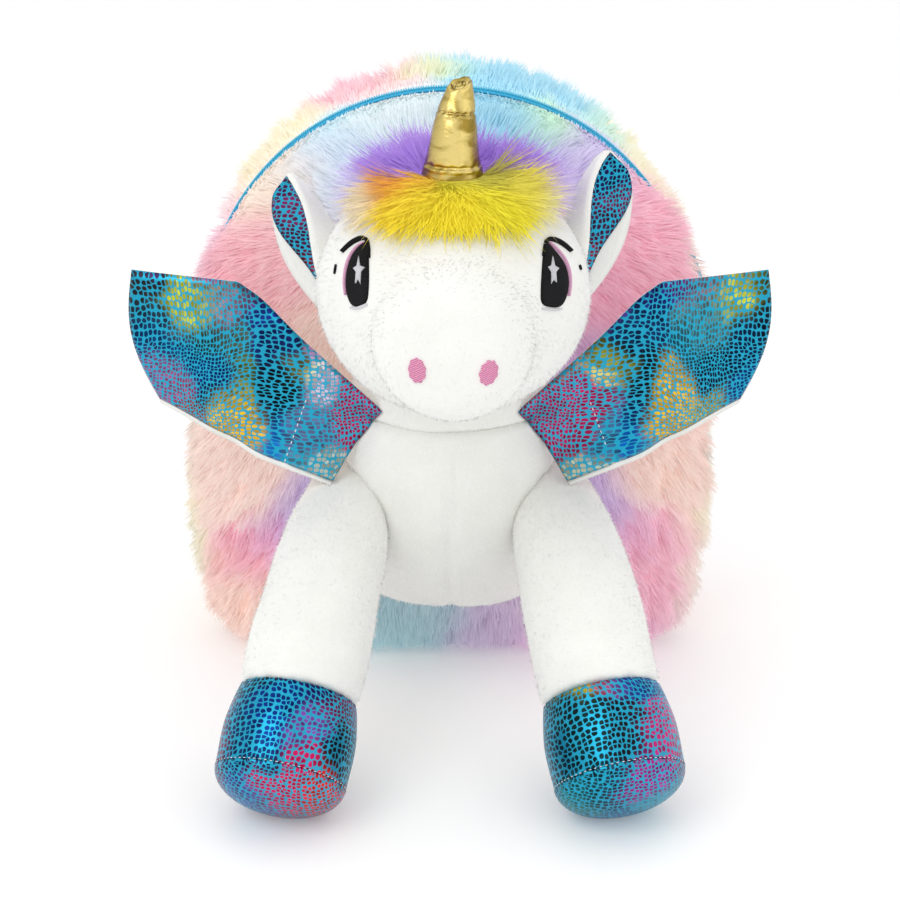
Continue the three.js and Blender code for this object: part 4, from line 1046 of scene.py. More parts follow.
def sink_seam(mesh):
    """The seam down the middle of the chest, drawn a little into the stuffing."""
    places, normals = mesh_arrays(mesh)
    across = (places[:, 0] - 0.001 * np.sin(60 * places[:, 2])) / CHEST_SEAM_SPREAD
    from_neck = smooth(np.abs(places[:, 2] - NECK_SEAM_HEIGHT), 0.003, 0.012)
    places -= normals * (CHEST_SEAM_DEPTH * from_neck * np.exp(-across ** 2))[:, None]
    move_points(mesh, places)


for node, seed, fill in BODY_PARTS:
    mesh = node_copy(node, node + "_plush", REMESH_SIZE, SMOOTH_ROUNDS, SMOOTH_LOSS)
    puff(mesh, STUFFING_LUMP, STUFFING_RISE, seed)
    if node in ("neck", "chest"):
        sink_seam(mesh)
    plush_piece(node + "_plush", mesh, node, before(NAP_STARTS_Y), seed)

# Embroidered face. Eyes and nostrils are satin stitches over the plush: a black eye with a pink outer
# edge, a white lower edge, a silver star of light, a lash above it and a short brow stitch.
EYES_VIEW = {
    "left": {
        "shape": [(362, 243), (353, 253), (347.5, 268), (346, 284), (347.5, 297), (352, 306), (359, 307),
                  (367.5, 303), (369, 290), (369.3, 276), (369, 252), (367, 241)],
        "edge": [(365, 243), (357, 247), (350.5, 256), (346.3, 268), (344.8, 283), (346.3, 295)],
        "lower": [(351, 307.5), (358, 308.8), (367.5, 304.5)],
        "lash": [(342.5, 252), (350, 244.5), (358, 239.5), (366.5, 237.5), (369, 247), (369.3, 258)],
        "brow": [(336.3, 264.5), (334.8, 274)],
        "star": [(360.7, 256), (362.2, 266), (367, 268), (363.4, 272.5), (363, 285.5), (360.5, 280.5),
                 (357.5, 285), (358.2, 273), (355, 268.5), (359, 266)],
    },
    "right": {
        "shape": [(545.5, 241), (543, 252), (541.5, 270), (540.5, 290), (540.5, 304), (549, 307.5),
                  (560, 307.5), (565.5, 300), (568.3, 288), (568, 275), (563.5, 261), (551, 246)],
        "edge": [(548.5, 242.5), (556, 249), (563.5, 258), (568.6, 270), (569.8, 284), (568, 296)],
        "lower": [(541.5, 308.5), (550, 310), (561, 309)],
        "lash": [(543, 256), (544.5, 247), (546.5, 238.5), (556, 240.3), (564, 245.3), (570.7, 251.5)],
        "brow": [(579.3, 265), (580.6, 270)],
        "star": [(550.5, 256), (552.4, 266), (557.3, 268.8), (553.8, 273), (554.4, 283.5), (551.5, 281),
                 (548.6, 285.5), (549, 273), (545.8, 267.5), (549, 266)],
    },
}
NOSTRILS_VIEW = {"left": ((417.2, 370.5), (8.6, 12.4), 10), "right": ((488.6, 372.6), (8.8, 12.8), -20)}
STITCH_SINK = 0.0008
BAND_SPACING = 0.314


def seen(pixels):
    """Places and normals on the head under pixels of the camera's 900 by 900 view."""
    turn = camera.rotation_euler.to_matrix()
    origin = Vector(CAMERA_PLACE)
    places, normals = [], []
    for u, v in pixels:
        way = turn @ Vector((u - VIEW_MIDDLE, VIEW_MIDDLE - v, -VIEW_FOCUS))
        place, normal, _, _ = head_tree.ray_cast(origin, way.normalized())
        places.append(place)
        normals.append(normal)
    return np.array(places), np.array(normals)


def resample(line, count, closed=False):
    """Evenly spaced places on a smooth line through given ones."""
    points = np.array(line + [line[0]] if closed else line, float)
    for _ in range(3):
        near = 0.75 * points[:-1] + 0.25 * points[1:], 0.25 * points[:-1] + 0.75 * points[1:]
        cut = np.stack(near, 1).reshape(-1, 2)
        if closed:
            points = np.vstack([cut, cut[:1]])
        else:
            points = np.vstack([points[:1], cut[1:-1], points[-1:]])
    run = np.concatenate([[0], np.cumsum(np.hypot(*np.diff(points, axis=0).T))])
    at = np.linspace(0, run[-1], count, endpoint=not closed)
    return np.stack([np.interp(at, run, points[:, k]) for k in (0, 1)], 1)


def stitched(name, grid, heights, joined=False):
    """A raised field of stitches on the head over a grid of pixels."""
    rows, columns = grid.shape[:2]
    places, normals = seen(grid.reshape(-1, 2))
    lift = np.broadcast_to(heights, (rows, columns)).reshape(-1, 1)
    outer = (places + normals * lift).reshape(rows, columns, 3)
    inner = (places - normals * STITCH_SINK).reshape(rows, columns, 3)
    return shell(name, outer, inner, joined)


def field(name, outline, height, count=64, round_off=True):
    """Satin stitches that fill an outline, a little higher in its middle."""
    edge = resample(outline, count, closed=True) if round_off else np.array(outline, float)
    centre = edge.mean(axis=0)
    shares = np.array([0, 0.06, 0.16, 0.4, 0.7, 1.0])
    grid = edge[None] + (centre - edge)[None] * shares[:, None, None]
    profile = height * np.array([0.3, 0.8, 1.0, 1.1, 1.15, 1.15])[:, None]
    return stitched(name, grid, profile, joined=True)


def stroke(name, line, half_width, height, count=26):
    """A line of satin stitches, tapered at both ends."""
    path = resample(line, count)
    along = unit(np.gradient(path, axis=0))
    across = np.stack([-along[:, 1], along[:, 0]], 1)
    taper = 0.45 + 0.55 * np.sin(math.pi * np.linspace(0.12, 0.88, count))
    shares = np.array([-1, -0.7, 0, 0.7, 1])
    grid = path[None] + across[None] * (taper * half_width)[None, :, None] * shares[:, None, None]
    profile = height * np.array([0.2, 0.85, 1.0, 0.85, 0.2])[:, None]
    return stitched(name, grid, profile)


def thread_material(name, colour, pale, pitch, lean):
    """Satin stitch: fine parallel threads with a soft gloss, a little uneven."""
    material, tree, shader = plain_material(name, 0.6, colour, Specular_IOR_Level=0.06)
    place = add_node(tree, "ShaderNodeTexCoord")
    lay = add_node(tree, "ShaderNodeMapping", {"Rotation": (0, lean, 0), "Vector": place.outputs["Object"]})
    threads = add_node(
        tree, "ShaderNodeTexWave",
        {"Scale": BAND_SPACING / pitch, "Distortion": 2.2, "Detail": 2, "Detail Scale": 2,
         "Vector": lay.outputs["Vector"]},
        bands_direction="Z",
    )
    add_tones(tree, shader, threads.outputs["Fac"], [c * 0.72 for c in colour], pale)
    add_relief(tree, shader, threads.outputs["Fac"], 0.6, 0.0004)
    return material


black_thread = thread_material("black thread", (0.006, 0.006, 0.007), (0.018, 0.018, 0.020), 0.0005, 0.1)
rose_thread = thread_material("rose thread", (0.72, 0.20, 0.40), (0.90, 0.42, 0.60), 0.0008, 0.5)
edge_thread = thread_material("pink edge thread", (0.80, 0.36, 0.60), (0.88, 0.52, 0.72), 0.0005, 0.2)
pale_thread = thread_material("white thread", (0.80, 0.80, 0.83), (0.90, 0.90, 0.93), 0.0005, 0.2)
silver_thread = thread_material("silver thread", (0.62, 0.62, 0.66), (0.82, 0.82, 0.86), 0.0005, 1.3)

EYE_RISE = 0.0011
STAR_RISE = 0.0018
NOSTRIL_RISE = 0.0010
EYE_STROKES = (
    ("edge", 1.1, 0.0013, edge_thread, "pink_thread"),
    ("lower", 1.5, 0.0012, pale_thread, "white_plush"),
    ("lash", 1.9, 0.0016, black_thread, "black_thread"),
    ("brow", 1.0, 0.0008, black_thread, "black_thread"),
)
for word, lines in EYES_VIEW.items():
    eye = field(f"eye_{word}_black", lines["shape"], EYE_RISE)
    dressed(eye, black_thread, f"eye_{word}")
    for part, half_width, height, thread, slot in EYE_STROKES:
        dressed(stroke(f"eye_{word}_{part}", lines[part], half_width, height), thread)
    star = field(f"eye_{word}_star", lines["star"], STAR_RISE, round_off=False)
    dressed(star, silver_thread)

for word, (centre, half, tilt) in NOSTRILS_VIEW.items():
    turn = np.linspace(0, 2 * math.pi, 40, endpoint=False)
    ring = np.stack([half[0] * np.cos(turn), half[1] * np.sin(turn)], 1)
    ring *= 1 + 0.06 * np.sin(9 * turn + 1.3)[:, None]
    lean = math.radians(tilt)
    ring = ring @ np.array([[math.cos(lean), math.sin(lean)], [-math.sin(lean), math.cos(lean)]])
    outline = (ring * (1, -1) + centre).tolist()
    nostril = field(f"nostril_{word}_rose", outline, NOSTRIL_RISE, round_off=False)
    dressed(nostril, rose_thread, f"nostril_{word}")

# Printed foil. Wings, hooves and ear linings are a stretch cloth with a bright foil print of rounded
# scales: teal lines between dark cells that turn olive, gold, magenta or red in patches. On the wings
# and the ear linings the patches are partly painted reflection and shade.
FOIL_LINE = (0.02, 0.36, 0.55)
SCALES_PER_METRE = 430
SCALE_DRIFT = 0.018


def scale_group():
    """The scale print: how far a spot is inside a cell, and a chance value for each cell."""
    group, given, result = shader_group(
        "scale print",
        [("Cells per metre", "NodeSocketFloat", 330.0), ("Stretch", "NodeSocketFloat", 0.004)],
        [("Cell", "NodeSocketFloat"), ("Chance", "NodeSocketFloat")],
    )
    links = group.links
    lay = add_node(group, "ShaderNodeUVMap", uv_map="cloth")
    drift = add_node(group, "ShaderNodeTexNoise", {"Scale": 22, "Detail": 1.5, "Vector": lay.outputs["UV"]})
    middle = add_node(
        group, "ShaderNodeVectorMath", {1: (0.5, 0.5, 0.5), 0: drift.outputs["Color"]}, operation="SUBTRACT"
    )
    pull = add_node(
        group, "ShaderNodeVectorMath",
        {0: middle.outputs[0], "Scale": given.outputs["Stretch"]},
        operation="SCALE",
    )
    moved = add_node(group, "ShaderNodeVectorMath", {0: lay.outputs["UV"], 1: pull.outputs[0]})
    masks = []
    for feature, low, high in (("DISTANCE_TO_EDGE", 0.07, 0.13), ("F1", 0.50, 0.40)):
        cells = add_node(
            group, "ShaderNodeTexVoronoi",
            {"Randomness": 0.62, "Vector": moved.outputs[0], "Scale": given.outputs["Cells per metre"]},
            voronoi_dimensions="2D", feature=feature,
        )
        inside = add_node(
            group, "ShaderNodeMapRange",
            {"From Min": low, "From Max": high, "Value": cells.outputs["Distance"]},
            interpolation_type="SMOOTHSTEP",
        )
        masks.append(inside.outputs["Result"])
    pick = add_node(group, "ShaderNodeSeparateColor", {0: cells.outputs["Color"]})
    links.new(pick.outputs[0], result.inputs["Chance"])
    rounded = add_node(group, "ShaderNodeMath", {0: masks[0], 1: masks[1]}, operation="MINIMUM")
    links.new(rounded.outputs[0], result.inputs["Cell"])
    return group


scale_print = scale_group()


def foil_material(name, cells, stretch):
    """Foil print: the cells take the piece's own attribute tint, partly painted reflection and shade on
    wings and ear linings; the lines between them stay teal.
    """
    material, tree, shader = plain_material(
        name, 0.34, FOIL_LINE, Metallic=0.9, Specular_IOR_Level=0.25
    )
    links = tree.links
    scales = add_node(
        tree, "ShaderNodeGroup", {"Cells per metre": cells, "Stretch": stretch}, node_tree=scale_print
    )
    tint = add_node(tree, "ShaderNodeAttribute", attribute_name="tint")
    lines = add_node(
        tree, "ShaderNodeMix",
        {"Factor": 0.04, "A": (*FOIL_LINE, 1), "B": tint.outputs["Color"]},
        data_type="RGBA",
    )
    vary = add_node(tree, "ShaderNodeHueSaturation")
    swing = add_node(
        tree, "ShaderNodeMapRange", {"To Min": 0.5, "To Max": 1.25, "Value": scales.outputs["Chance"]}
    )
    links.new(swing.outputs["Result"], vary.inputs["Value"])
    links.new(tint.outputs["Color"], vary.inputs["Color"])
    mix = add_node(
        tree, "ShaderNodeMix",
        {"Factor": scales.outputs["Cell"], "A": lines.outputs["Result"], "B": vary.outputs["Color"]},
        data_type="RGBA",
    )
    links.new(mix.outputs["Result"], shader.inputs["Base Color"])
    add_relief(tree, shader, scales.outputs["Cell"], 0.25, 0.0003)
    return material


def lay_uv(mesh, spots):
    """Gives a mesh the UV map cloth, in metres on the cloth, from a place on it for every point."""
    layer = mesh.uv_layers.new(name="cloth")
    index = np.empty(len(mesh.loops), np.int32)
    mesh.loops.foreach_get("vertex_index", index)
    layer.data.foreach_set("uv", np.ascontiguousarray(spots[index], np.float32).ravel())


def tint_foil(mesh, zones, seed):
    places, _ = mesh_arrays(mesh)
    store(mesh, "tint", zone_colours(places, zones, 0.011, seed), "FLOAT_COLOR", "color")


# Wings. Each is a flat two-layer piece: foil in front and white plush behind, sewn round its edge, with a
# row of stitches near the root and one soft crease. Its root lies on the chest and the shoulder.
WING_FOIL = 0.0016
WING_PLUSH = 0.0028
WING_LAYER_GAP = 0.0006
WING_MARGIN = 0.0028
WING_CLEARANCE = 0.0012
WING_ROOT_TOP = (0.034, -0.122, 0.158)
WING_ROOT_BOTTOM = (0.059, -0.127, 0.122)
WING_ROOT_BOW = 0.010
WING_BEND = (0.105, -0.114, 0.222)
WING_TIP = (0.158, -0.106, 0.226)
WING_CORNER = (0.147, -0.108, 0.160)
WING_EDGE_BULGE = 0.007
WING_CREASE_DEPTH = 0.005
WING_CREASE_PLACE = 0.55
WING_SAG = 0.004
WING_NAP_DENSITY = 60000
SCALE_RUN = ((0, 0), (0.066, 0.066), (0.098, 0.085), (0.108, 0.094), (0.138, 0.136), (0.17, 0.164))
SCALE_RISE = ((0.10, 0.10), (0.15, 0.155), (0.19, 0.201), (0.205, 0.213), (0.25, 0.245))


def mirrored(side, *points):
    """Points that are given for the right side, on either side."""
    return [np.array(p) * (side, 1, 1) for p in points]


def smooth_line(points, count):
    """A Catmull-Rom line through points, evenly spaced."""
    points = np.array(points, float)
    ends = np.vstack([2 * points[0] - points[1], points, 2 * points[-1] - points[-2]])
    t = np.linspace(0, 1, 40, endpoint=False)[:, None]
    parts = []
    for k in range(len(points) - 1):
        a, b, c, d = ends[k:k + 4]
        parts.append(0.5 * (2 * b + (c - a) * t + (2 * a - 5 * b + 4 * c - d) * t ** 2
                            + (3 * b - a - 3 * c + d) * t ** 3))
    dense = np.vstack(parts + [points[-1:]])
    run = np.concatenate([[0], np.cumsum(np.linalg.norm(np.diff(dense, axis=0), axis=1))])
    at = np.linspace(0, run[-1], count)
    return np.stack([np.interp(at, run, dense[:, k]) for k in range(3)], 1)


def wing_grid(side, margin, columns=60, rows=30):
    """The wing's surface: columns run from the root to the tip and rows from the lower edge up."""
    root_top, root_bottom, bend, tip, corner = mirrored(
        side, WING_ROOT_TOP, WING_ROOT_BOTTOM, WING_BEND, WING_TIP, WING_CORNER
    )
    sag = (root_bottom + corner) / 2 - (0, 0, WING_SAG)
    low = smooth_line([root_bottom, sag, corner], columns)
    high = smooth_line([
        root_top, root_top + 0.45 * (bend - root_top), root_top + 0.92 * (bend - root_top),
        bend + 0.12 * (tip - bend), tip,
    ], columns)
    u = np.linspace(0, 1, columns)[None, :, None]
    v = np.linspace(0, 1, rows)[:, None, None]
    grid = low[None] * (1 - v) + high[None] * v
    grid[..., 0:1] += side * WING_EDGE_BULGE * np.sin(math.pi * v) * smooth(u, 0.75, 1)
    grid += unit(low - high)[None] * margin * (1 - v)
    grid[..., 1:2] += WING_CREASE_DEPTH * np.exp(-(((u - WING_CREASE_PLACE) / 0.1) ** 2))
    grid[..., 1:2] += WING_ROOT_BOW * np.sin(math.pi * v) * (1 - smooth(u, 0, 0.35))
    wave = np.sin(2 * math.pi * (1.6 * u + 0.5 * v)) * 0.0012 * smooth(u, 0.2, 0.5)
    grid[..., 1:2] += wave
    return grid, u[..., 0] * np.ones(rows)[:, None], v[..., 0] * np.ones(columns)


def soft_edge(u, v, reach=0.03):
    """A thickness that rounds off to nothing at a layer's edges."""
    near = np.minimum.reduce([u / reach, (1 - u) / reach, v / (2 * reach), (1 - v) / (2 * reach)])
    return np.sqrt(np.clip(1 - (1 - np.clip(near, 0, 1)) ** 2, 0.02, 1))


# Tints of the wings' foil cells: partly the print's own colours, partly painted reflection and shade, the
# dark and bright zones that the glossy foil shows on either side of its crease.
WING_PRINT_AND_REFLECTION_TINTS = {
    -1: [
        ((-0.132, -0.11, 0.209), 0.012, "c4c82c"), ((-0.124, -0.11, 0.212), 0.010, "a0a83c"),
        ((-0.113, -0.11, 0.212), 0.010, "8c7488"), ((-0.154, -0.11, 0.217), 0.012, "2c2c30"),
        ((-0.152, -0.11, 0.202), 0.010, "24343c"), ((-0.150, -0.11, 0.192), 0.012, "0c3464"),
        ((-0.136, -0.11, 0.190), 0.012, "0c3c6c"), ((-0.119, -0.11, 0.196), 0.010, "1c3c3c"),
        ((-0.119, -0.11, 0.176), 0.012, "0a2c6c"), ((-0.119, -0.11, 0.164), 0.010, "0c1c3c"),
        ((-0.138, -0.11, 0.169), 0.010, "a04c74"), ((-0.146, -0.11, 0.174), 0.010, "8c5c8c"),
        ((-0.105, -0.11, 0.196), 0.007, "4c5c4c"), ((-0.103, -0.11, 0.180), 0.007, "5c6c34"),
        ((-0.094, -0.11, 0.202), 0.010, "1c3484"), ((-0.088, -0.11, 0.188), 0.010, "14245c"),
        ((-0.085, -0.11, 0.173), 0.010, "0a1418"), ((-0.088, -0.11, 0.160), 0.008, "0a2c4c"),
        ((-0.084, -0.11, 0.149), 0.008, "0a5cb0"), ((-0.083, -0.11, 0.139), 0.008, "0c6cbc"),
        ((-0.109, -0.11, 0.154), 0.011, "d8b41c"), ((-0.105, -0.11, 0.141), 0.011, "e0b01c"),
        ((-0.114, -0.11, 0.162), 0.006, "b0a034"), ((-0.107, -0.11, 0.168), 0.007, "8c8c34"),
        ((-0.135, -0.11, 0.153), 0.010, "94503c"), ((-0.103, -0.11, 0.216), 0.008, "5c2c84"),
        ((-0.074, -0.11, 0.179), 0.007, "6c6c34"), ((-0.066, -0.11, 0.173), 0.006, "dcd8b0"),
        ((-0.060, -0.11, 0.164), 0.007, "c8b4c8"), ((-0.066, -0.12, 0.150), 0.010, "5c6c94"),
        ((-0.050, -0.12, 0.143), 0.009, "a8184c"), ((-0.044, -0.12, 0.152), 0.009, "b81c5c"),
        ((-0.064, -0.12, 0.126), 0.008, "b8bcac"), ((-0.075, -0.12, 0.131), 0.008, "5c94ac"),
        # Along the top edge: painted glints of purple and pink on the rolled edge, a painted highlight.
        ((-0.150, -0.11, 0.2265), 0.005, "4c2c6c"), ((-0.125, -0.11, 0.2245), 0.005, "8c3c94"),
        ((-0.095, -0.11, 0.2120), 0.005, "5c3ca4"), ((-0.080, -0.11, 0.1995), 0.005, "6c4cac"),
        ((-0.062, -0.11, 0.1835), 0.005, "c098cc"),
    ],
    1: [
        ((0.148, -0.11, 0.213), 0.010, "c8cc3c"), ((0.139, -0.11, 0.209), 0.010, "a8b44c"),
        ((0.161, -0.11, 0.220), 0.008, "3c4c2c"), ((0.125, -0.11, 0.214), 0.010, "7c6c7c"),
        ((0.125, -0.11, 0.201), 0.010, "4c7478"), ((0.113, -0.11, 0.216), 0.007, "5c2c74"),
        ((0.103, -0.11, 0.212), 0.009, "1c2c7c"), ((0.100, -0.11, 0.196), 0.010, "14305c"),
        ((0.097, -0.11, 0.180), 0.010, "0a1420"), ((0.095, -0.11, 0.165), 0.009, "0a141c"),
        ((0.093, -0.11, 0.152), 0.008, "0c2c5c"), ((0.090, -0.11, 0.140), 0.009, "0a58a8"),
        ((0.148, -0.11, 0.190), 0.012, "0c2444"), ((0.160, -0.11, 0.198), 0.010, "0c1c2c"),
        ((0.155, -0.11, 0.173), 0.011, "123c7c"), ((0.133, -0.11, 0.178), 0.012, "101c34"),
        ((0.119, -0.11, 0.189), 0.008, "1c4c5c"), ((0.112, -0.11, 0.174), 0.009, "c8a01c"),
        ((0.113, -0.11, 0.160), 0.010, "e0b41c"), ((0.111, -0.11, 0.145), 0.009, "d8ac1c"),
        ((0.140, -0.11, 0.158), 0.009, "9c8c34"), ((0.127, -0.11, 0.149), 0.009, "b8a42c"),
        ((0.148, -0.11, 0.163), 0.007, "1c3c7c"), ((0.078, -0.11, 0.167), 0.006, "d8c878"),
        ((0.069, -0.11, 0.162), 0.005, "d8d4b4"), ((0.085, -0.11, 0.176), 0.007, "8c8c2c"),
        ((0.062, -0.12, 0.143), 0.009, "a0184c"), ((0.056, -0.12, 0.150), 0.008, "b01c5c"),
        ((0.080, -0.11, 0.147), 0.008, "6c5c8c"), ((0.076, -0.12, 0.136), 0.008, "3c6c94"),
        ((0.077, -0.12, 0.126), 0.007, "b4c4b4"), ((0.068, -0.12, 0.124), 0.007, "c4c4a4"),
        ((0.096, -0.11, 0.131), 0.007, "5c94a4"),
        # Along the top edge: painted glints of purple and lilac on the rolled edge, a painted highlight.
        ((0.150, -0.11, 0.2265), 0.004, "3c3c5c"), ((0.118, -0.11, 0.2240), 0.005, "6c2c84"),
        ((0.096, -0.11, 0.2130), 0.005, "3c3ca4"), ((0.080, -0.11, 0.2000), 0.004, "5c4cac"),
    ],
}


def tree_of(*names):
    """A search tree over the skins of finished pieces."""
    work = bmesh.new()
    for name in names:
        work.from_mesh(bpy.data.objects[name].data)
    tree = BVHTree.FromBMesh(work)
    work.free()
    return tree


def stretched(places):
    """Places on the wing's cloth, where the print's scales are coarse in a band and fine beside it."""
    across = np.interp(np.abs(places[:, 0]), *np.array(SCALE_RUN).T)
    return np.stack([across, np.interp(places[:, 2], *np.array(SCALE_RISE).T)], 1)


def rest_on(tree, grid, clearance):
    """Brings a layer's places forward to a skin wherever they would lie inside it."""
    flat = grid.reshape(-1, 3)
    for k, (x, y, z) in enumerate(flat):
        hit = tree.ray_cast(Vector((x, -0.5, z)), Vector((0, 1, 0)))[0]
        if hit is not None and y > hit.y - clearance:
            flat[k, 1] = hit.y - clearance
    return flat.reshape(grid.shape)


scale_foil = foil_material("scale foil", SCALES_PER_METRE, SCALE_DRIFT)
body_tree = tree_of("neck_plush", "chest_plush", "leg_left_plush", "leg_right_plush")
for side, word in SIDES:
    grid, u, v = wing_grid(side, 0)
    grid = rest_on(body_tree, grid, WING_CLEARANCE)
    body = soft_edge(u, v)[..., None] * (0, 1, 0)
    quilt = 0.0011 * np.exp(-(((u - 0.27) / 0.02) ** 2))[..., None] * (0, 1, 0)
    front = shell(f"wing_front_{word}_foil", grid - WING_FOIL * 1.3 * body + quilt, grid + 0.0001)
    places, _ = mesh_arrays(front)
    lay_uv(front, stretched(places))
    tint_foil(front, WING_PRINT_AND_REFLECTION_TINTS[side], 61 + side)
    dressed(front, scale_foil, f"wing_front_{word}")

    grid, u, v = wing_grid(side, WING_MARGIN)
    grid = rest_on(body_tree, grid, 0.0008)
    body = soft_edge(u, v)[..., None] * (0, 1, 0)
    lift = np.array([0, WING_LAYER_GAP, 0])
    back = shell(f"wing_back_{word}_plush", grid + lift, grid + lift + WING_PLUSH * body)
    plush_piece(back.name, back, f"wing_back_{word}", covered, 63 + side, WING_NAP_DENSITY)

# Hooves and soles. A foil band continues each leg, and a round foil cushion closes it.
HOOF_RADIUS = 0.0306
SOLE_BULGE = 0.0163
FOOT_LIFT = 0.0002
HOOF_PRINT_SCALE = 0.92
SOLE_PRINT_SCALE = 0.74
HOOF_SEAM = (0.071, -0.222, 0.0498)
SOLE_RING = (0.078, -0.2487, 0.022)
HOOF = {"at": (0.0, 0.15, 0.5, 1.0), "radius": (0.905, 0.955, 1.02, 1.0)}
HOOF_TINTS = {
    -1: [
        ((-0.085, -0.225, 0.070), 0.012, "10283c"), ((-0.062, -0.235, 0.068), 0.012, "1c1c5c"),
        ((-0.078, -0.250, 0.056), 0.010, "10307c"), ((-0.064, -0.252, 0.050), 0.008, "7c4ca4"),
        ((-0.048, -0.240, 0.058), 0.010, "7c1c50"), ((-0.050, -0.250, 0.036), 0.012, "101c24"),
        ((-0.090, -0.255, 0.040), 0.012, "123464"), ((-0.104, -0.245, 0.030), 0.012, "7c2444"),
        ((-0.070, -0.262, 0.036), 0.008, "c81c5c"), ((-0.078, -0.266, 0.020), 0.012, "d81c50"),
        ((-0.060, -0.262, 0.016), 0.014, "d8302c"), ((-0.094, -0.262, 0.016), 0.012, "3c4c9c"),
        ((-0.078, -0.256, 0.006), 0.010, "b81c3c"),
    ],
    1: [
        ((0.052, -0.230, 0.066), 0.012, "c0b024"), ((0.068, -0.232, 0.070), 0.010, "b04c6c"),
        ((0.084, -0.232, 0.066), 0.010, "1c3c8c"), ((0.092, -0.248, 0.048), 0.010, "c8307c"),
        ((0.076, -0.252, 0.048), 0.010, "1c242c"), ((0.058, -0.250, 0.044), 0.012, "10282c"),
        ((0.050, -0.248, 0.030), 0.012, "103c4c"), ((0.100, -0.245, 0.030), 0.010, "8c244c"),
        ((0.086, -0.262, 0.030), 0.010, "a42c8c"), ((0.072, -0.264, 0.026), 0.010, "1c3c4c"),
        ((0.064, -0.264, 0.016), 0.010, "24746c"), ((0.094, -0.258, 0.014), 0.012, "3c9cac"),
        ((0.078, -0.258, 0.006), 0.012, "1c5c8c"),
    ],
}


def ring_frame(along):
    up = np.cross((1, 0, 0), along)
    up /= np.linalg.norm(up)
    return np.cross(along, up), up


def foot_grid(side, start, end, radii, pushes, turns):
    """Rings of a round form along the hoof's axis, laid flat where they meet the floor."""
    a, b = mirrored(side, HOOF_SEAM, SOLE_RING)
    along = unit(b - a)
    right, up = ring_frame(along)
    share = np.linspace(start, end, len(radii))
    centres = a + (b - a) * share[:, None] + along * np.array(pushes)[:, None]
    spin = np.cos(turns)[:, None] * right + np.sin(turns)[:, None] * up
    rings = centres[:, None] + spin[None] * np.array(radii).reshape(len(radii), -1, 1)
    rings[..., 2] = np.maximum(rings[..., 2], FOOT_LIFT)
    return rings


turns = np.linspace(0, 2 * math.pi, 120, endpoint=False)
for side, word in SIDES:
    share = np.linspace(0, 1, 36)
    edge = np.exp(-share / 0.05) + np.exp(-(1 - share) / 0.05)
    radius = HOOF_RADIUS * column(HOOF, "radius", share) - 0.0002 * edge ** 2
    pucker = 0.00035 * np.sin(26 * turns + side)[None] * edge[:, None]
    radii = radius[:, None] + pucker
    rings = foot_grid(side, 0, 1, radii, [0.0002] * 36, turns)
    hoof = loft(f"hoof_{word}_foil", np.vstack([cap(rings[:1]), rings, cap(rings[-1:])]))
    angle = np.linspace(0, math.pi / 2, 26)
    bulge = SOLE_BULGE * np.sin(angle)
    seam_dip = np.exp(-angle / 0.08)
    radii = (HOOF_RADIUS * np.cos(angle) ** 0.92 - 0.0001 * seam_dip)[:, None]
    radii = np.maximum(radii + 0.0004 * np.sin(22 * turns)[None] * seam_dip[:, None], 0)
    rings = foot_grid(side, 1, 1, radii, 0.0003 + bulge, turns)
    sole = loft(f"sole_{word}_foil", np.vstack([cap(rings[:1]), rings]))
    a, b = mirrored(side, HOOF_SEAM, SOLE_RING)
    along = unit(b - a)
    right, up = ring_frame(along)
    for mesh, node in ((hoof, f"hoof_{word}"), (sole, f"sole_{word}")):
        places, _ = mesh_arrays(mesh)
        offset = places - a
        run = offset @ along
        across, high = offset @ right, offset @ up
        if mesh is hoof:
            around = np.arctan2(across, -high) * HOOF_RADIUS
            spots = HOOF_PRINT_SCALE * np.stack([around, run], 1)
        else:
            reach = np.hypot(across, high)
            arc = HOOF_RADIUS * np.arcsin(np.clip(reach / HOOF_RADIUS, 0, 1))
            spread = SOLE_PRINT_SCALE * arc / np.maximum(reach, 1e-6)
            spots = np.stack([across, high], 1) * spread[:, None] + 0.3
        lay_uv(mesh, spots)
        tint_foil(mesh, HOOF_TINTS[side], 71 + side)
        dressed(mesh, scale_foil, node)

# Ears. A leaf of white plush lined with foil, folded lengthwise and sewn into the head's side seam.
EAR_LENGTH = 0.076
EAR_BACK_WIDTH = 0.029
EAR_FLAP_WIDTH = 0.0155
EAR_FLAP_TAPER = 0.75
EAR_MOUTH = 0.011
EAR_PLUSH = 0.0026
EAR_FOIL = 0.001
EAR_LINING_TRIM = 0.2
EAR_NAP_FROM = 0.2
EAR_NAP_DENSITY = 200000
EARS = {
    "left": ((0.050, -0.122, 0.2055), (0.079, -0.120, 0.2745), 0),
    "right": ((0.056, -0.122, 0.214), (0.078, -0.120, 0.288), -8),
}
EAR = {"at": (0.0, 0.25, 0.5, 0.75, 0.92, 1.0), "width": (0.5, 0.86, 1.0, 0.84, 0.5, 0.12)}
# Tints of the ear linings' foil cells: partly the print's own colours, partly painted shade, dark along the
# fold in the middle of the ear.
EAR_PRINT_AND_SHADE_TINTS = [
    ((0.075, -0.120, 0.275), 0.012, "1c1c4c"), ((0.070, -0.120, 0.250), 0.014, "3c1c3c"),
    ((0.062, -0.120, 0.235), 0.012, "8c2c3c"), ((0.060, -0.122, 0.220), 0.010, "2c4c9c"),
    ((0.078, -0.120, 0.262), 0.010, "7c2c5c"), ((0.066, -0.120, 0.244), 0.008, "1c2c5c"),
]


def clear_of_head(places):
    return (places[:, 2] > EAR_NAP_FROM).astype(float)


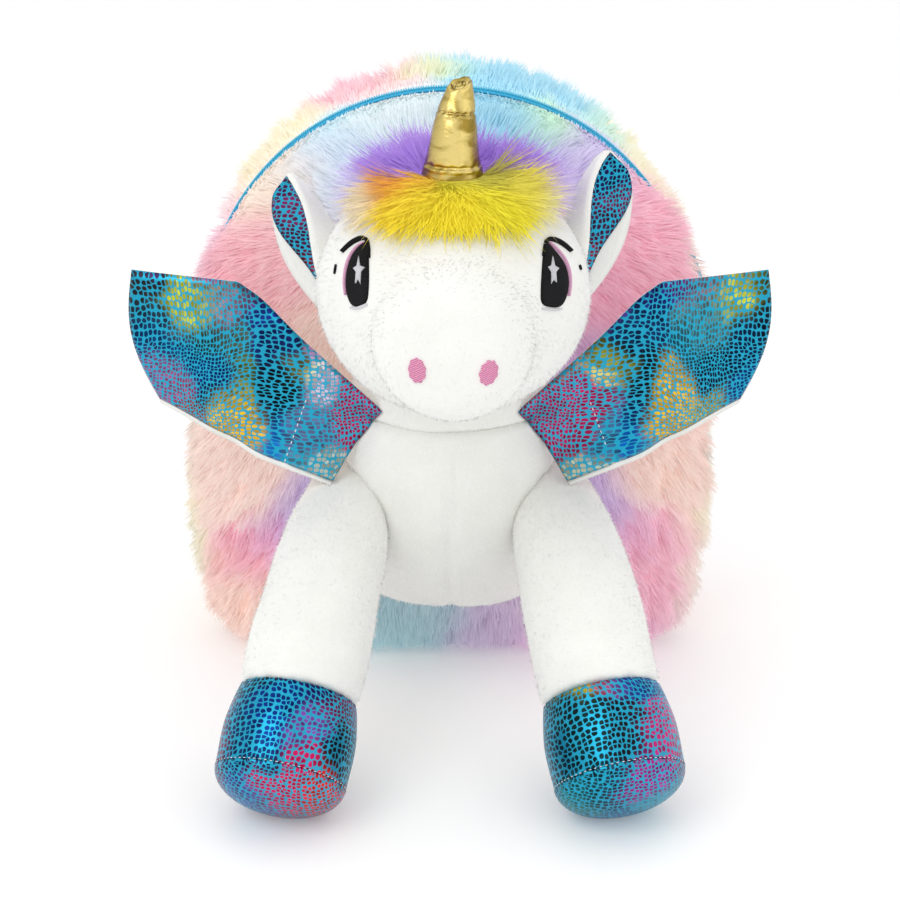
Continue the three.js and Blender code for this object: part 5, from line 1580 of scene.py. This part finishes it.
def ear_grid(name, side, trim=0.0, rows=46, columns=34):
    """The ear's middle sheet and its outward normals: rows run from base to tip, columns across the fold.

    trim leaves out that much of the back half's edge near the base.
    """
    base, tip, turn = EARS[name]
    foot, top = mirrored(side, base, tip)
    up = unit(top - foot)
    lateral = unit(np.array([side, 0, 0]) - side * up[0] * up)
    angle = side * math.radians(turn)
    lateral = lateral * math.cos(angle) + np.cross(up, lateral) * math.sin(angle)
    front = np.cross(lateral, up) * side
    v = (1 - (1 - np.linspace(0, 1, rows)) ** 1.5)[:, None, None]
    start = -1 + trim * (1 - smooth(v, 0.3, 0.85))
    q = start + (1 - start) * np.linspace(0, 1, columns)[None, :, None]
    width = column(EAR, "width", v)
    round_tip = np.sqrt(np.clip(1 - np.clip((v - 0.9) / 0.1, 0, 1) ** 2, 0, 1))
    flap = EAR_FLAP_WIDTH * (1 - EAR_FLAP_TAPER * smooth(v, 0.2, 1))
    reach = np.where(q < 0, EAR_BACK_WIDTH, flap) * width * round_tip
    grid = foot + up * EAR_LENGTH * v
    grid = grid + lateral * (reach * q * q - 0.35 * EAR_BACK_WIDTH * width)
    grid = grid + front * EAR_MOUTH * np.sqrt(width) * q * round_tip
    outward = np.cross(np.gradient(grid, axis=1), np.gradient(grid, axis=0))
    along, across = v[..., 0] * np.ones(columns), (q[..., 0] + 1) / 2 * np.ones((rows, 1))
    return grid, unit(outward) * side, along, across


for side, word in SIDES:
    grid, outward, v, q = ear_grid(word, side)
    round_off = soft_edge(np.clip(v, 0.2, 1), q, 0.035)[..., None]
    plush = shell(f"ear_{word}_plush", grid + outward * EAR_PLUSH * round_off, grid + outward * 0.0002)
    plush_piece(plush.name, plush, f"ear_{word}", clear_of_head, 81 + side, EAR_NAP_DENSITY)
    grid, outward, v, q = ear_grid(word, side, EAR_LINING_TRIM)
    rim_in = np.clip(np.minimum(q, 1 - q) / 0.10, 0, 1)[..., None]
    sheet = grid - outward * 0.0002
    lining = shell(f"ear_lining_{word}_foil", sheet, sheet - outward * EAR_FOIL * (0.3 + 0.7 * rim_in))
    places, _ = mesh_arrays(lining)
    lay_uv(lining, places[:, [0, 2]] + places[:, [1, 1]] * (0.6, 0))
    tint_foil(lining, [((side * c[0], c[1], c[2]), r, code) for c, r, code in EAR_PRINT_AND_SHADE_TINTS], 91)
    dressed(lining, scale_foil, f"ear_lining_{word}")

# Horn. A stuffed cone of gold coated cloth. It is creased across by two folds, gathered at its foot and
# rolled in on itself at the tip.
HORN_RADIUS = 0.0148
HORN_LINE = ((0.001, -0.147, 0.272), (0.001, -0.149, 0.300), (0.005, -0.146, 0.328))
HORN = {
    "at": (0.0, 0.06, 0.13, 0.22, 0.30, 0.36, 0.50, 0.66, 0.765, 0.83, 0.92, 1.0),
    "radius": (0.87, 0.97, 1.0, 0.96, 0.87, 0.83, 0.76, 0.68, 0.56, 0.54, 0.45, 0.37),
}
HORN_FOLDS = (0.30, 0.765)
HORN_TIP_AT = 0.91
HORN_TIP_TILT = 0.62
HORN_TIP_ROLL = (
    (0.95, 0.0006), (0.82, 0.0010), (0.68, 0.0003), (0.54, -0.0014), (0.48, -0.0002), (0.36, 0.0008),
    (0.20, -0.0010), (0.0, -0.0016),
)


def gold_material():
    """Gold coated cloth: bright and softly creased, with painted shade in its creases, painted highlight on
    their ridges and painted dark reflection towards its edges.
    """
    material, tree, shader = plain_material("gold foil", 0.22, (0.80, 0.53, 0.14), Metallic=1)
    links = tree.links
    place = add_node(tree, "ShaderNodeTexCoord")
    lay = add_node(tree, "ShaderNodeMapping", {"Scale": (1, 1, 2.2), "Vector": place.outputs["Object"]})
    crease = add_node(tree, "ShaderNodeTexNoise", {"Scale": 60, "Detail": 3, "Distortion": 0.8})
    fine = add_node(tree, "ShaderNodeTexNoise", {"Scale": 900})
    for texture in (crease, fine):
        links.new(lay.outputs["Vector"], texture.inputs["Vector"])
    both = add_node(
        tree, "ShaderNodeMath",
        {1: 0.15, 0: fine.outputs["Fac"], 2: crease.outputs["Fac"]},
        operation="MULTIPLY_ADD",
    )
    add_relief(tree, shader, both.outputs[0], 0.6, 0.0009)
    # Painted shade and highlight: the crease noise that raises the surface also darkens its creases to olive
    # and lightens its ridges.
    tone = add_node(tree, "ShaderNodeValToRGB")
    tone.color_ramp.elements[0].position = 0.36
    tone.color_ramp.elements[0].color = (0.36, 0.25, 0.045, 1)
    tone.color_ramp.elements[1].position = 0.58
    tone.color_ramp.elements[1].color = (0.86, 0.68, 0.24, 1)
    links.new(crease.outputs["Fac"], tone.inputs["Fac"])
    # Painted reflection: the gold turns dark brown where its surface turns away from the view, as if it
    # mirrored darker surroundings.
    facing = add_node(tree, "ShaderNodeLayerWeight", {"Blend": 0.45})
    turned = add_node(
        tree, "ShaderNodeMix",
        {"B": (0.17, 0.11, 0.012, 1), "Factor": facing.outputs["Facing"], "A": tone.outputs["Color"]},
        data_type="RGBA",
    )
    links.new(turned.outputs["Result"], shader.inputs["Base Color"])
    return material


gold = gold_material()


def horn_mesh():
    rows, columns = 84, 64
    share = np.linspace(0, 1, rows)
    a, b, c = (np.array(p) for p in HORN_LINE)
    t = HORN_TIP_AT * share[:, None]
    centre = (1 - t) ** 2 * a + 2 * (1 - t) * t * b + t ** 2 * c
    along = unit(2 * (1 - t) * (b - a) + 2 * t * (c - b))
    turn = np.linspace(0, 2 * math.pi, columns, endpoint=False)
    right = unit(np.cross(along, np.cross((1.0, 0, 0), along)))
    up = unit(np.cross((1.0, 0, 0), along))
    radius = HORN_RADIUS * column(HORN, "radius", share)[:, None] * np.ones(columns)
    foot = np.exp(-((share - 0.03) / 0.07) ** 2)[:, None]
    radius += 0.0007 * np.sin(17 * turn + 2 * np.sin(3 * turn))[None] * foot
    ahead = 0.3 + 0.7 * np.clip(np.sin(turn), 0, 1)
    for waist in HORN_FOLDS:
        near = np.exp(-(((share - waist) / 0.05) ** 2))[:, None]
        radius += 0.0004 * np.sin(13 * turn + 30 * share[:, None]) * near
        radius -= 0.0011 * np.exp(-(((share - waist) / 0.012) ** 2))[:, None] * ahead
        radius += 0.0007 * np.exp(-(((share - waist + 0.028) / 0.014) ** 2))[:, None] * ahead
    radius += 0.0003 * np.sin(2 * turn + 9 * share[:, None]) * share[:, None]
    rings = centre[:, None] + radius[..., None] * (
        np.cos(turn)[None, :, None] * right[:, None] + np.sin(turn)[None, :, None] * up[:, None]
    )
    lean = np.sin(turn) * 0.85 - np.cos(turn) * 0.5
    tilt = HORN_TIP_TILT * smooth(share, 0.72, 1)[:, None] * radius * lean
    rings -= along[:, None] * tilt[..., None]
    middle = rings[-1].mean(axis=0)
    fold = []
    for k, (shrink, rise) in enumerate(HORN_TIP_ROLL):
        wrinkle = 1 + 0.10 * np.sin(5 * turn + k)[:, None]
        fold.append(middle + (rings[-1] - middle) * shrink * wrinkle + along[-1] * rise)
    return loft("horn_gold", np.vstack([cap(rings[:1]), rings, np.array(fold)]))


dressed(horn_mesh(), gold, "horn")

# Mane. A pad of long faux fur sewn over the crown round the horn: yellow before it, orange and olive at its
# sides, purple behind, and paler towards the ends of the hairs, partly as dyed and partly painted shade
# at the roots.
MANE_CENTRE_Y = -0.145
MANE_HALF_WIDTH = 0.037
MANE_HALF_LENGTH = 0.044
MANE_DENSITY = 2800000
MANE_HAIR_WIDTH = 0.00026
MANE_HAIR_BEND = 0.26
MANE_STRAY = 0.42
MANE_MARBLE = 0.004
MANE_LOCK_RADIUS = 0.0045
MANE_DYE = [
    ((0.000, -0.188, 0.268), 0.020, "fbe93a"), ((0.020, -0.180, 0.270), 0.016, "f8ec3c"),
    ((-0.018, -0.182, 0.272), 0.014, "fadf3c"), ((-0.028, -0.168, 0.280), 0.011, "f6ac3c"),
    ((-0.014, -0.166, 0.284), 0.009, "f2c03a"), ((0.000, -0.164, 0.280), 0.009, "d8cc34"),
    ((0.018, -0.160, 0.284), 0.011, "c9c04a"), ((0.034, -0.168, 0.276), 0.012, "f6e85c"),
    ((0.048, -0.170, 0.268), 0.010, "fbf3b4"), ((-0.042, -0.168, 0.270), 0.010, "f8e7c4"),
    ((-0.026, -0.140, 0.288), 0.014, "b48ce8"), ((-0.040, -0.130, 0.284), 0.014, "b690ec"),
    ((-0.054, -0.130, 0.280), 0.010, "d3c3f4"), ((-0.050, -0.148, 0.272), 0.010, "dcd6f6"),
    ((-0.018, -0.112, 0.296), 0.014, "b992ea"), ((0.006, -0.108, 0.296), 0.014, "ac86e4"),
    ((0.026, -0.130, 0.290), 0.014, "ab82e2"), ((0.040, -0.126, 0.284), 0.014, "b48ae8"),
    ((0.056, -0.130, 0.278), 0.010, "cdbbf2"), ((-0.040, -0.104, 0.288), 0.012, "cfdcf8"),
    ((0.036, -0.102, 0.290), 0.012, "c3b8f0"), ((0.000, -0.088, 0.290), 0.012, "c9c8f4"),
    ((0.050, -0.152, 0.270), 0.010, "dcc9f0"),
]


def mane_skin():
    """The pad over the crown round the horn. The hairs combed onto it after stand at the horn and lie down
    towards its edge.
    """
    share = np.linspace(0.20, 1, 22)[:, None]
    turn = np.linspace(0, 2 * math.pi, 72, endpoint=False)[None, :]
    x = HEAD_SHIFT + MANE_HALF_WIDTH * share * np.cos(turn)
    y = MANE_CENTRE_Y + MANE_HALF_LENGTH * share * np.sin(turn)
    at = (y - HEAD_BACK_Y) / (NOSE_Y - HEAD_BACK_Y)
    width = HEAD_HALF_WIDTH * column(HEAD, "width", at)
    height = HEAD_HALF_HEIGHT * column(HEAD, "height", at)
    top = HEAD_HEIGHT - HEAD_DROP * column(HEAD, "drop", at)
    z = top + height * np.sqrt(np.maximum(1 - ((x - HEAD_SHIFT) / width) ** 2, 0))
    sheet = np.stack([x, y, z], -1)
    return shell("mane_backing", sheet + (0, 0, 0.0022), sheet + (0, 0, 0.0003), joined=True)


mane_mesh = mane_skin()
places, normals = mesh_arrays(mane_mesh)
offset = places - (HEAD_SHIFT, MANE_CENTRE_Y, 0)
share = np.hypot(offset[:, 0] / MANE_HALF_WIDTH, offset[:, 1] / MANE_HALF_LENGTH)[:, None]
away = unit(offset * (1, 1, 0))
front = smooth(-away[:, 1:2], 0.1, 0.7)
back = smooth(away[:, 1:2], 0.1, 0.8)
near_horn = 1 - smooth(share, 0.42, 0.75)
length = (0.024 - 0.003 * back) * (1 - 0.35 * near_horn * front)
steep = (0.95 - 0.65 * share) * (1 - 0.85 * front) + 0.55 * back
sink = np.array([0, 0, -1]) * (0.25 * front + 0.25 * (1 - back)) * share
comb = unit(away + normals * steep + sink + 0.32 * wander(places, 0.012, 8)) * length
comb = gather(places, comb, MANE_LOCK_RADIUS, LOCK_PULL, 17)
store(mane_mesh, "comb", comb)
store(mane_mesh, "root", places)
upward = (normals[:, 2] > 0.1) & (share[:, 0] > 0.40)
thin = 1 - 0.55 * front[:, 0] * smooth(share[:, 0], 0.6, 0.95)
store(mane_mesh, "cover", upward * thin, "FLOAT", "value")
store(mane_mesh, "dye", zone_colours(places, MANE_DYE, MANE_MARBLE, 6), "FLOAT_COLOR", "color")
store(mane_mesh, "rise", np.zeros(len(places)), "FLOAT", "value")
# The crest's root shade of 0.55 is painted shade, and its glow of 0.26 is painted light.
crest_material = pile_material("crest fur", 0.55, 0.26, 0.1)
mane_hair = hair("mane hair", MANE_HAIR_BEND)
mane_hairs = grow_hairs(
    "mane_hairs", mane_mesh.copy(), mane_hair, crest_material, MANE_DENSITY, MANE_HAIR_WIDTH, MANE_STRAY, 19
)
places, _ = mesh_arrays(mane_hairs.data)
store(mane_hairs.data, "dye", zone_colours(places, MANE_DYE, MANE_MARBLE, 6), "FLOAT_COLOR", "color")
dressed(mane_mesh, crest_material, "mane")
settle(mane_hairs)

# Zipper. A coil zipper over the arch between the front panels and the gusset: two woven tapes, a double
# row of nylon teeth, and a slider with a pull tab low on one side.
ZIP_OPENING = 0.012
TAPE_THICKNESS = 0.0012
COIL_WIDTH = 0.005
COIL_THICKNESS = 0.0026
COIL_TOP = SEAM_GAP + 0.8 * COIL_THICKNESS
COIL_CROWN = 0.0012
TOOTH_ROW_OFFSET = 0.0011
ZIP_END_SHARE = 0.25
TOOTH_PITCH = 0.0013


def repeat_tree():
    """Geometry Nodes that lay one small shape again and again along lines, its Z along their up."""
    tree, inputs, given, result = geometry_tree("laid along lines", (
        ("Lines", "NodeSocketGeometry"), ("Shape", "NodeSocketObject"), ("Pitch", "NodeSocketFloat"),
        ("Material", "NodeSocketMaterial"),
    ))
    curve = add_node(tree, "GeometryNodeMeshToCurve", {"Mesh": given.outputs["Lines"]})
    even = add_node(
        tree, "GeometryNodeResampleCurve",
        {"Curve": curve.outputs["Curve"], "Length": given.outputs["Pitch"]},
        mode="LENGTH",
    )
    tangent = add_node(tree, "GeometryNodeInputTangent")
    along = add_node(
        tree, "FunctionNodeAlignRotationToVector", {"Vector": tangent.outputs["Tangent"]}, axis="X",
    )
    up = add_node(tree, "GeometryNodeInputNamedAttribute", {"Name": "up"}, data_type="FLOAT_VECTOR")
    upright = add_node(
        tree, "FunctionNodeAlignRotationToVector",
        {"Rotation": along.outputs[0], "Vector": up.outputs["Attribute"]},
        axis="Z", pivot_axis="X",
    )
    lay_shapes(tree, result, given.outputs["Shape"], given.outputs["Material"], {
        "Points": even.outputs["Curve"], "Rotation": upright.outputs[0],
    })
    return tree, inputs


laid_along, laid_inputs = repeat_tree()


def lay_along(name, lines, ups, shape, pitch, material):
    """Repeats a shape along lines of places, and returns it all as one plain piece."""
    mesh = bpy.data.meshes.new(name + "_lines")
    edges, start = [], 0
    for line in lines:
        edges += [(start + k, start + k + 1) for k in range(len(line) - 1)]
        start += len(line)
    mesh.from_pydata(np.vstack(lines).tolist(), edges, [])
    store(mesh, "up", np.vstack(ups))
    holder = new_object(name + "_lines", mesh)
    layer = holder.modifiers.new("laid", "NODES")
    layer.node_group = laid_along
    for label, value in (("Shape", shape), ("Pitch", pitch), ("Material", material)):
        layer[laid_inputs[label]] = value
    made = baked(holder, name)
    return new_object(name, made)


def bead(name, half_length, half_width, height, sides=8, rings=3):
    """A small rounded shape lying along X, for a stitch or a tooth."""
    work = bmesh.new()
    bmesh.ops.create_uvsphere(work, u_segments=sides, v_segments=2 * rings, radius=1)
    mesh = bpy.data.meshes.new(name)
    work.to_mesh(mesh)
    work.free()
    places, _ = mesh_arrays(mesh)
    places = np.sign(places) * np.abs(places) ** 0.8
    mesh.vertices.foreach_set("co", (places * (half_length, half_width, height)).ravel())
    return bpy.data.objects.new(name, mesh)


def woven_material(name, colour, pale, pitch, roughness=0.8):
    """A close woven or knitted cloth: two crossed sets of fine ribs."""
    material, tree, shader = plain_material(name, roughness, colour, Sheen_Weight=0.2)
    place = add_node(tree, "ShaderNodeTexCoord")
    heights = []
    for way in ("X", "Z"):
        ribs = add_node(
            tree, "ShaderNodeTexWave",
            {"Scale": BAND_SPACING / pitch, "Distortion": 0.4, "Vector": place.outputs["Object"]},
            bands_direction=way,
        )
        heights.append(ribs)
    both = add_node(
        tree, "ShaderNodeMath",
        {0: heights[0].outputs["Fac"], 1: heights[1].outputs["Fac"]},
        operation="MULTIPLY",
    )
    add_tones(tree, shader, both.outputs[0], colour, pale)
    add_relief(tree, shader, both.outputs[0], 0.5, 0.0003)
    return material


def moulded_material(name, colour, roughness, grain=900):
    """Moulded nylon, or close-wound thread: its gloss, tone and surface vary a little all over."""
    material, tree, shader = plain_material(name, roughness, colour)
    links = tree.links
    place = add_node(tree, "ShaderNodeTexCoord")
    texture = add_node(tree, "ShaderNodeTexNoise", {"Scale": grain, "Vector": place.outputs["Object"]})
    gloss = add_node(
        tree, "ShaderNodeMapRange",
        {"To Min": roughness - 0.1, "To Max": roughness + 0.15, "Value": texture.outputs["Fac"]},
    )
    links.new(gloss.outputs["Result"], shader.inputs["Roughness"])
    add_tones(tree, shader, texture.outputs["Fac"], [c * 0.8 for c in colour], colour)
    add_relief(tree, shader, texture.outputs["Fac"], 0.2, 0.0002)
    return material


def arch_line(count, grow, depth):
    """Places along the zipper's opening from one end over the top to the other, and the way outwards."""
    ends = math.radians(ZIP_END_ANGLE)
    turn = np.linspace(ends, math.pi - ends, count)
    outward = np.stack([np.cos(turn), 0 * turn, np.sin(turn)], 1)
    line = outward * (ARCH_RADIUS + grow) + (0, 0, ARCH_HEIGHT)
    line[:, 1] = depth
    return line, outward


def arch_band(name, low, high, inside, outside, crown=0.0, count=170, rows=7):
    """A band that follows the arch between two depths, narrower at both ends of the opening."""
    line, outward = arch_line(count, 0, FRONT_SEAM_Y)
    from_end = np.minimum(np.arange(count), np.arange(count)[::-1]) / count
    share = ZIP_END_SHARE + (1 - ZIP_END_SHARE) * smooth(from_end, 0, 0.03)
    across = np.linspace(0, 1, rows)[:, None]
    depth = share * (low + (high - low) * across)
    bulge = crown * np.sin(math.pi * across) ** 0.6
    grids = []
    for grow in (outside - crown + bulge, inside + 0 * bulge):
        grid = line[None] + outward[None] * (grow * np.ones(count))[..., None]
        grid[..., 1] = FRONT_SEAM_Y + depth
        grids.append(grid)
    return shell(name, *grids)


zip_material = woven_material("zipper tape", (0.012, 0.42, 0.68), (0.10, 0.62, 0.86), 0.0006, 0.5)
tooth_material = moulded_material("zipper teeth", (0.07, 0.60, 0.84), 0.25)
edge = SEAM_GAP / 2
for word, side in (("front", -1), ("back", 1)):
    near, far = sorted((side * edge, side * (ZIP_OPENING / 2 - edge)))
    tape_mesh = arch_band(f"zipper_tape_{word}_cloth", near, far, -TAPE_THICKNESS, 0)
    tape = dressed(tape_mesh, zip_material, f"zipper_tape_{word}")

coil_mesh = arch_band("zipper_coil_core", -COIL_WIDTH / 2, COIL_WIDTH / 2, SEAM_GAP, COIL_TOP, COIL_CROWN)
dressed(coil_mesh, zip_material, "zipper_coil")
tooth = bead("zipper tooth", 0.00045, 0.0016, 0.0007, 6, 2)
lines, ups = [], []
for side in (-1, 1):
    line, outward = arch_line(340, COIL_TOP, FRONT_SEAM_Y + side * TOOTH_ROW_OFFSET)
    lines.append(line)
    ups.append(outward)
teeth = lay_along("zipper_teeth", lines, ups, tooth, TOOTH_PITCH, tooth_material)
settle(teeth)

# Wing stitches. A short row of white thread holds each wing's two layers together near its root.
stitch_material = moulded_material("stitching thread", (0.84, 0.84, 0.86), 0.5, 2500)
stitch = bead("stitch", 0.0009, 0.00035, 0.00035, 6, 2)
WING_STITCH_ROWS = {-1: (0.27, 0.05, 0.62), 1: (0.25, 0.22, 0.62)}
lines, ups = [], []
for side, (across, low, high) in WING_STITCH_ROWS.items():
    grid = rest_on(body_tree, wing_grid(side, 0)[0], WING_CLEARANCE)
    column_at = round(across * (grid.shape[1] - 1))
    rows = slice(round(low * (grid.shape[0] - 1)), round(high * (grid.shape[0] - 1)))
    lines.append(grid[rows, column_at] - (0, WING_FOIL * 1.3 - 0.0007, 0))
    ups.append(np.tile((0, -1, 0), (len(lines[-1]), 1)))
wing_stitches = lay_along("wing_stitches", lines, ups, stitch, 0.0031, stitch_material)
settle(wing_stitches)

# Sole stitches. A row of pale thread closes the seam between each hoof's band and its sole. Its pale beads
# are partly the seam's stitching and partly painted highlight, the glints along that seam.
SOLE_STITCH_RISE = 0.0002
SOLE_STITCH_FLOOR = 0.0015
lines, ups = [], []
for side in (-1, 1):
    from_floor = turns + math.pi / 2
    ring = foot_grid(side, 1, 1, [[HOOF_RADIUS + SOLE_STITCH_RISE]], [0.0002], from_floor)[0]
    lines.append(ring[ring[:, 2] > SOLE_STITCH_FLOOR])
    ups.append(unit(lines[-1] - ring.mean(axis=0)))
seam_stitch = bead("seam stitch", 0.0007, 0.0002, 0.0002, 6, 2)
sole_stitches = lay_along("sole_stitches", lines, ups, seam_stitch, 0.0026, stitch_material)
settle(sole_stitches)

# Back panel. A plain, lightly padded panel of soft cloth closes the bag behind and carries the straps.
BACK_CROWN = 0.006
BACK_LINING_CROWN = 0.6
SEAM_PILE = 0.003
panel_material = woven_material("panel cloth", (0.74, 0.60, 0.70), (0.84, 0.74, 0.81), 0.0012, 0.9)


def back_panel():
    rows = 22
    turn = np.linspace(0, 1, 120, endpoint=False)[None, :]
    half_turn = np.where(turn <= 0.5, 2 * turn, 2 - 2 * turn)
    side = np.where(turn <= 0.5, 1, -1)
    x, z = rim(half_turn)
    share = 1 - np.linspace(0, 1, rows)[:, None] ** 1.4
    crown = BACK_CROWN * np.sqrt(1 - share ** 2) * np.ones_like(x)
    spread = [side * x * share, DOME_CENTRE_HEIGHT + (z - DOME_CENTRE_HEIGHT) * share]
    start = BACK_SEAM_Y + SEAM_GAP / 2
    soft = 0.0008 * np.sin(9 * spread[0] / 0.05) * np.sin(7 * spread[1] / 0.05) * (1 - share ** 4)
    pile = SEAM_PILE * smooth(1 - share, -0.01, 0.04)
    outer = np.stack([spread[0], start + pile + crown + soft, spread[1]], -1)
    inner = np.stack([spread[0], start + BACK_LINING_CROWN * crown, spread[1]], -1)
    return shell("bag_back_cloth", outer, inner, joined=True)


dressed(back_panel(), panel_material, "bag_back")

# Shoulder straps. Two padded straps come from the top of the back, end in a ladder lock each, and go on
# as plain webbing to the lower corners. Their edges are stitched down.
STRAP_WIDTH = 0.042
STRAP_THICKNESS = 0.006
WEBBING_WIDTH = 0.020
WEBBING_THICKNESS = 0.0016
WEBBING_LEAD = 0.0067
STRAP_SLIDER_HEIGHT = 0.024
STRAP_LINE = ((0.034, 0.042, 0.264), (0.040, 0.076, 0.236), (0.054, 0.088, 0.185), (0.076, 0.072, 0.108))
WEBBING_LINE = ((0.086, 0.060, 0.072), (0.094, 0.041, 0.040))
strap_material = woven_material("strap cloth", (0.70, 0.42, 0.56), (0.82, 0.58, 0.70), 0.0011, 0.85)
lock_material = moulded_material("strap plastic", (0.72, 0.34, 0.50), 0.4)


def band_frame(line):
    """The directions along a band's line, out of its face and across it."""
    along = unit(np.gradient(line, axis=0))
    out = unit(np.cross((1.0, 0, 0), along))
    return along, out, np.cross(along, out)


def flat_band(name, line, width, thickness, power, seam=0.0, around=40):
    """A band with rounded edges along a line, a little thinner along its two seams."""
    along, out, across = band_frame(line)
    turn = np.linspace(0, 2 * math.pi, around, endpoint=False)
    c, s = np.cos(turn), np.sin(turn)
    wide = 0.5 * width * np.sign(c) * np.abs(c) ** power
    thick = 0.5 * thickness * np.sign(s) * np.abs(s) ** power
    thick *= 1 - seam * np.exp(-(((np.abs(wide) / (0.5 * width) - 0.78) / 0.07) ** 2))
    rings = line[:, None] + wide[None, :, None] * across[:, None] + thick[None, :, None] * out[:, None]
    caps = [np.repeat(line[k][None, None], around, axis=1) for k in (0, -1)]
    return loft(name, np.vstack([caps[0], rings, caps[1]]))


lines, ups = [], []
for side, word in SIDES:
    points = mirrored(side, *STRAP_LINE)
    line = smooth_line(points, 70)
    strap_mesh = flat_band(f"strap_{word}_padded", line, STRAP_WIDTH, STRAP_THICKNESS, 0.55, 0.3)
    dressed(strap_mesh, strap_material, f"strap_{word}")
    along, out, across = band_frame(line)
    for edge_side in (-1, 1):
        lines.append(line + edge_side * 0.39 * STRAP_WIDTH * across + 0.42 * STRAP_THICKNESS * out)
        ups.append(out)
    leave = unit(line[-1] - line[-2])
    buckle = points[-1] + leave * STRAP_SLIDER_HEIGHT
    route = [buckle, buckle + leave * WEBBING_LEAD] + mirrored(side, *WEBBING_LINE)
    web_line = smooth_line(route, 40)
    web_mesh = flat_band(f"webbing_{word}_woven", web_line, WEBBING_WIDTH, WEBBING_THICKNESS, 0.5, around=24)
    webbing = dressed(web_mesh, strap_material, f"webbing_{word}")
    length = float(np.linalg.norm(np.diff(web_line, axis=0), axis=1).sum())
    frame["nodes"][f"strap_slider_{word}"].material_slots[0].material = lock_material
strap_stitches = lay_along("strap_stitches", lines, ups, stitch, 0.0032, stitch_material)
settle(strap_stitches)
frame["nodes"]["zipper_slider"].material_slots[0].material = tooth_material

for spare in (fur_hair, nap_hair, mane_hair, tooth, stitch, seam_stitch):
    bpy.data.objects.remove(spare)
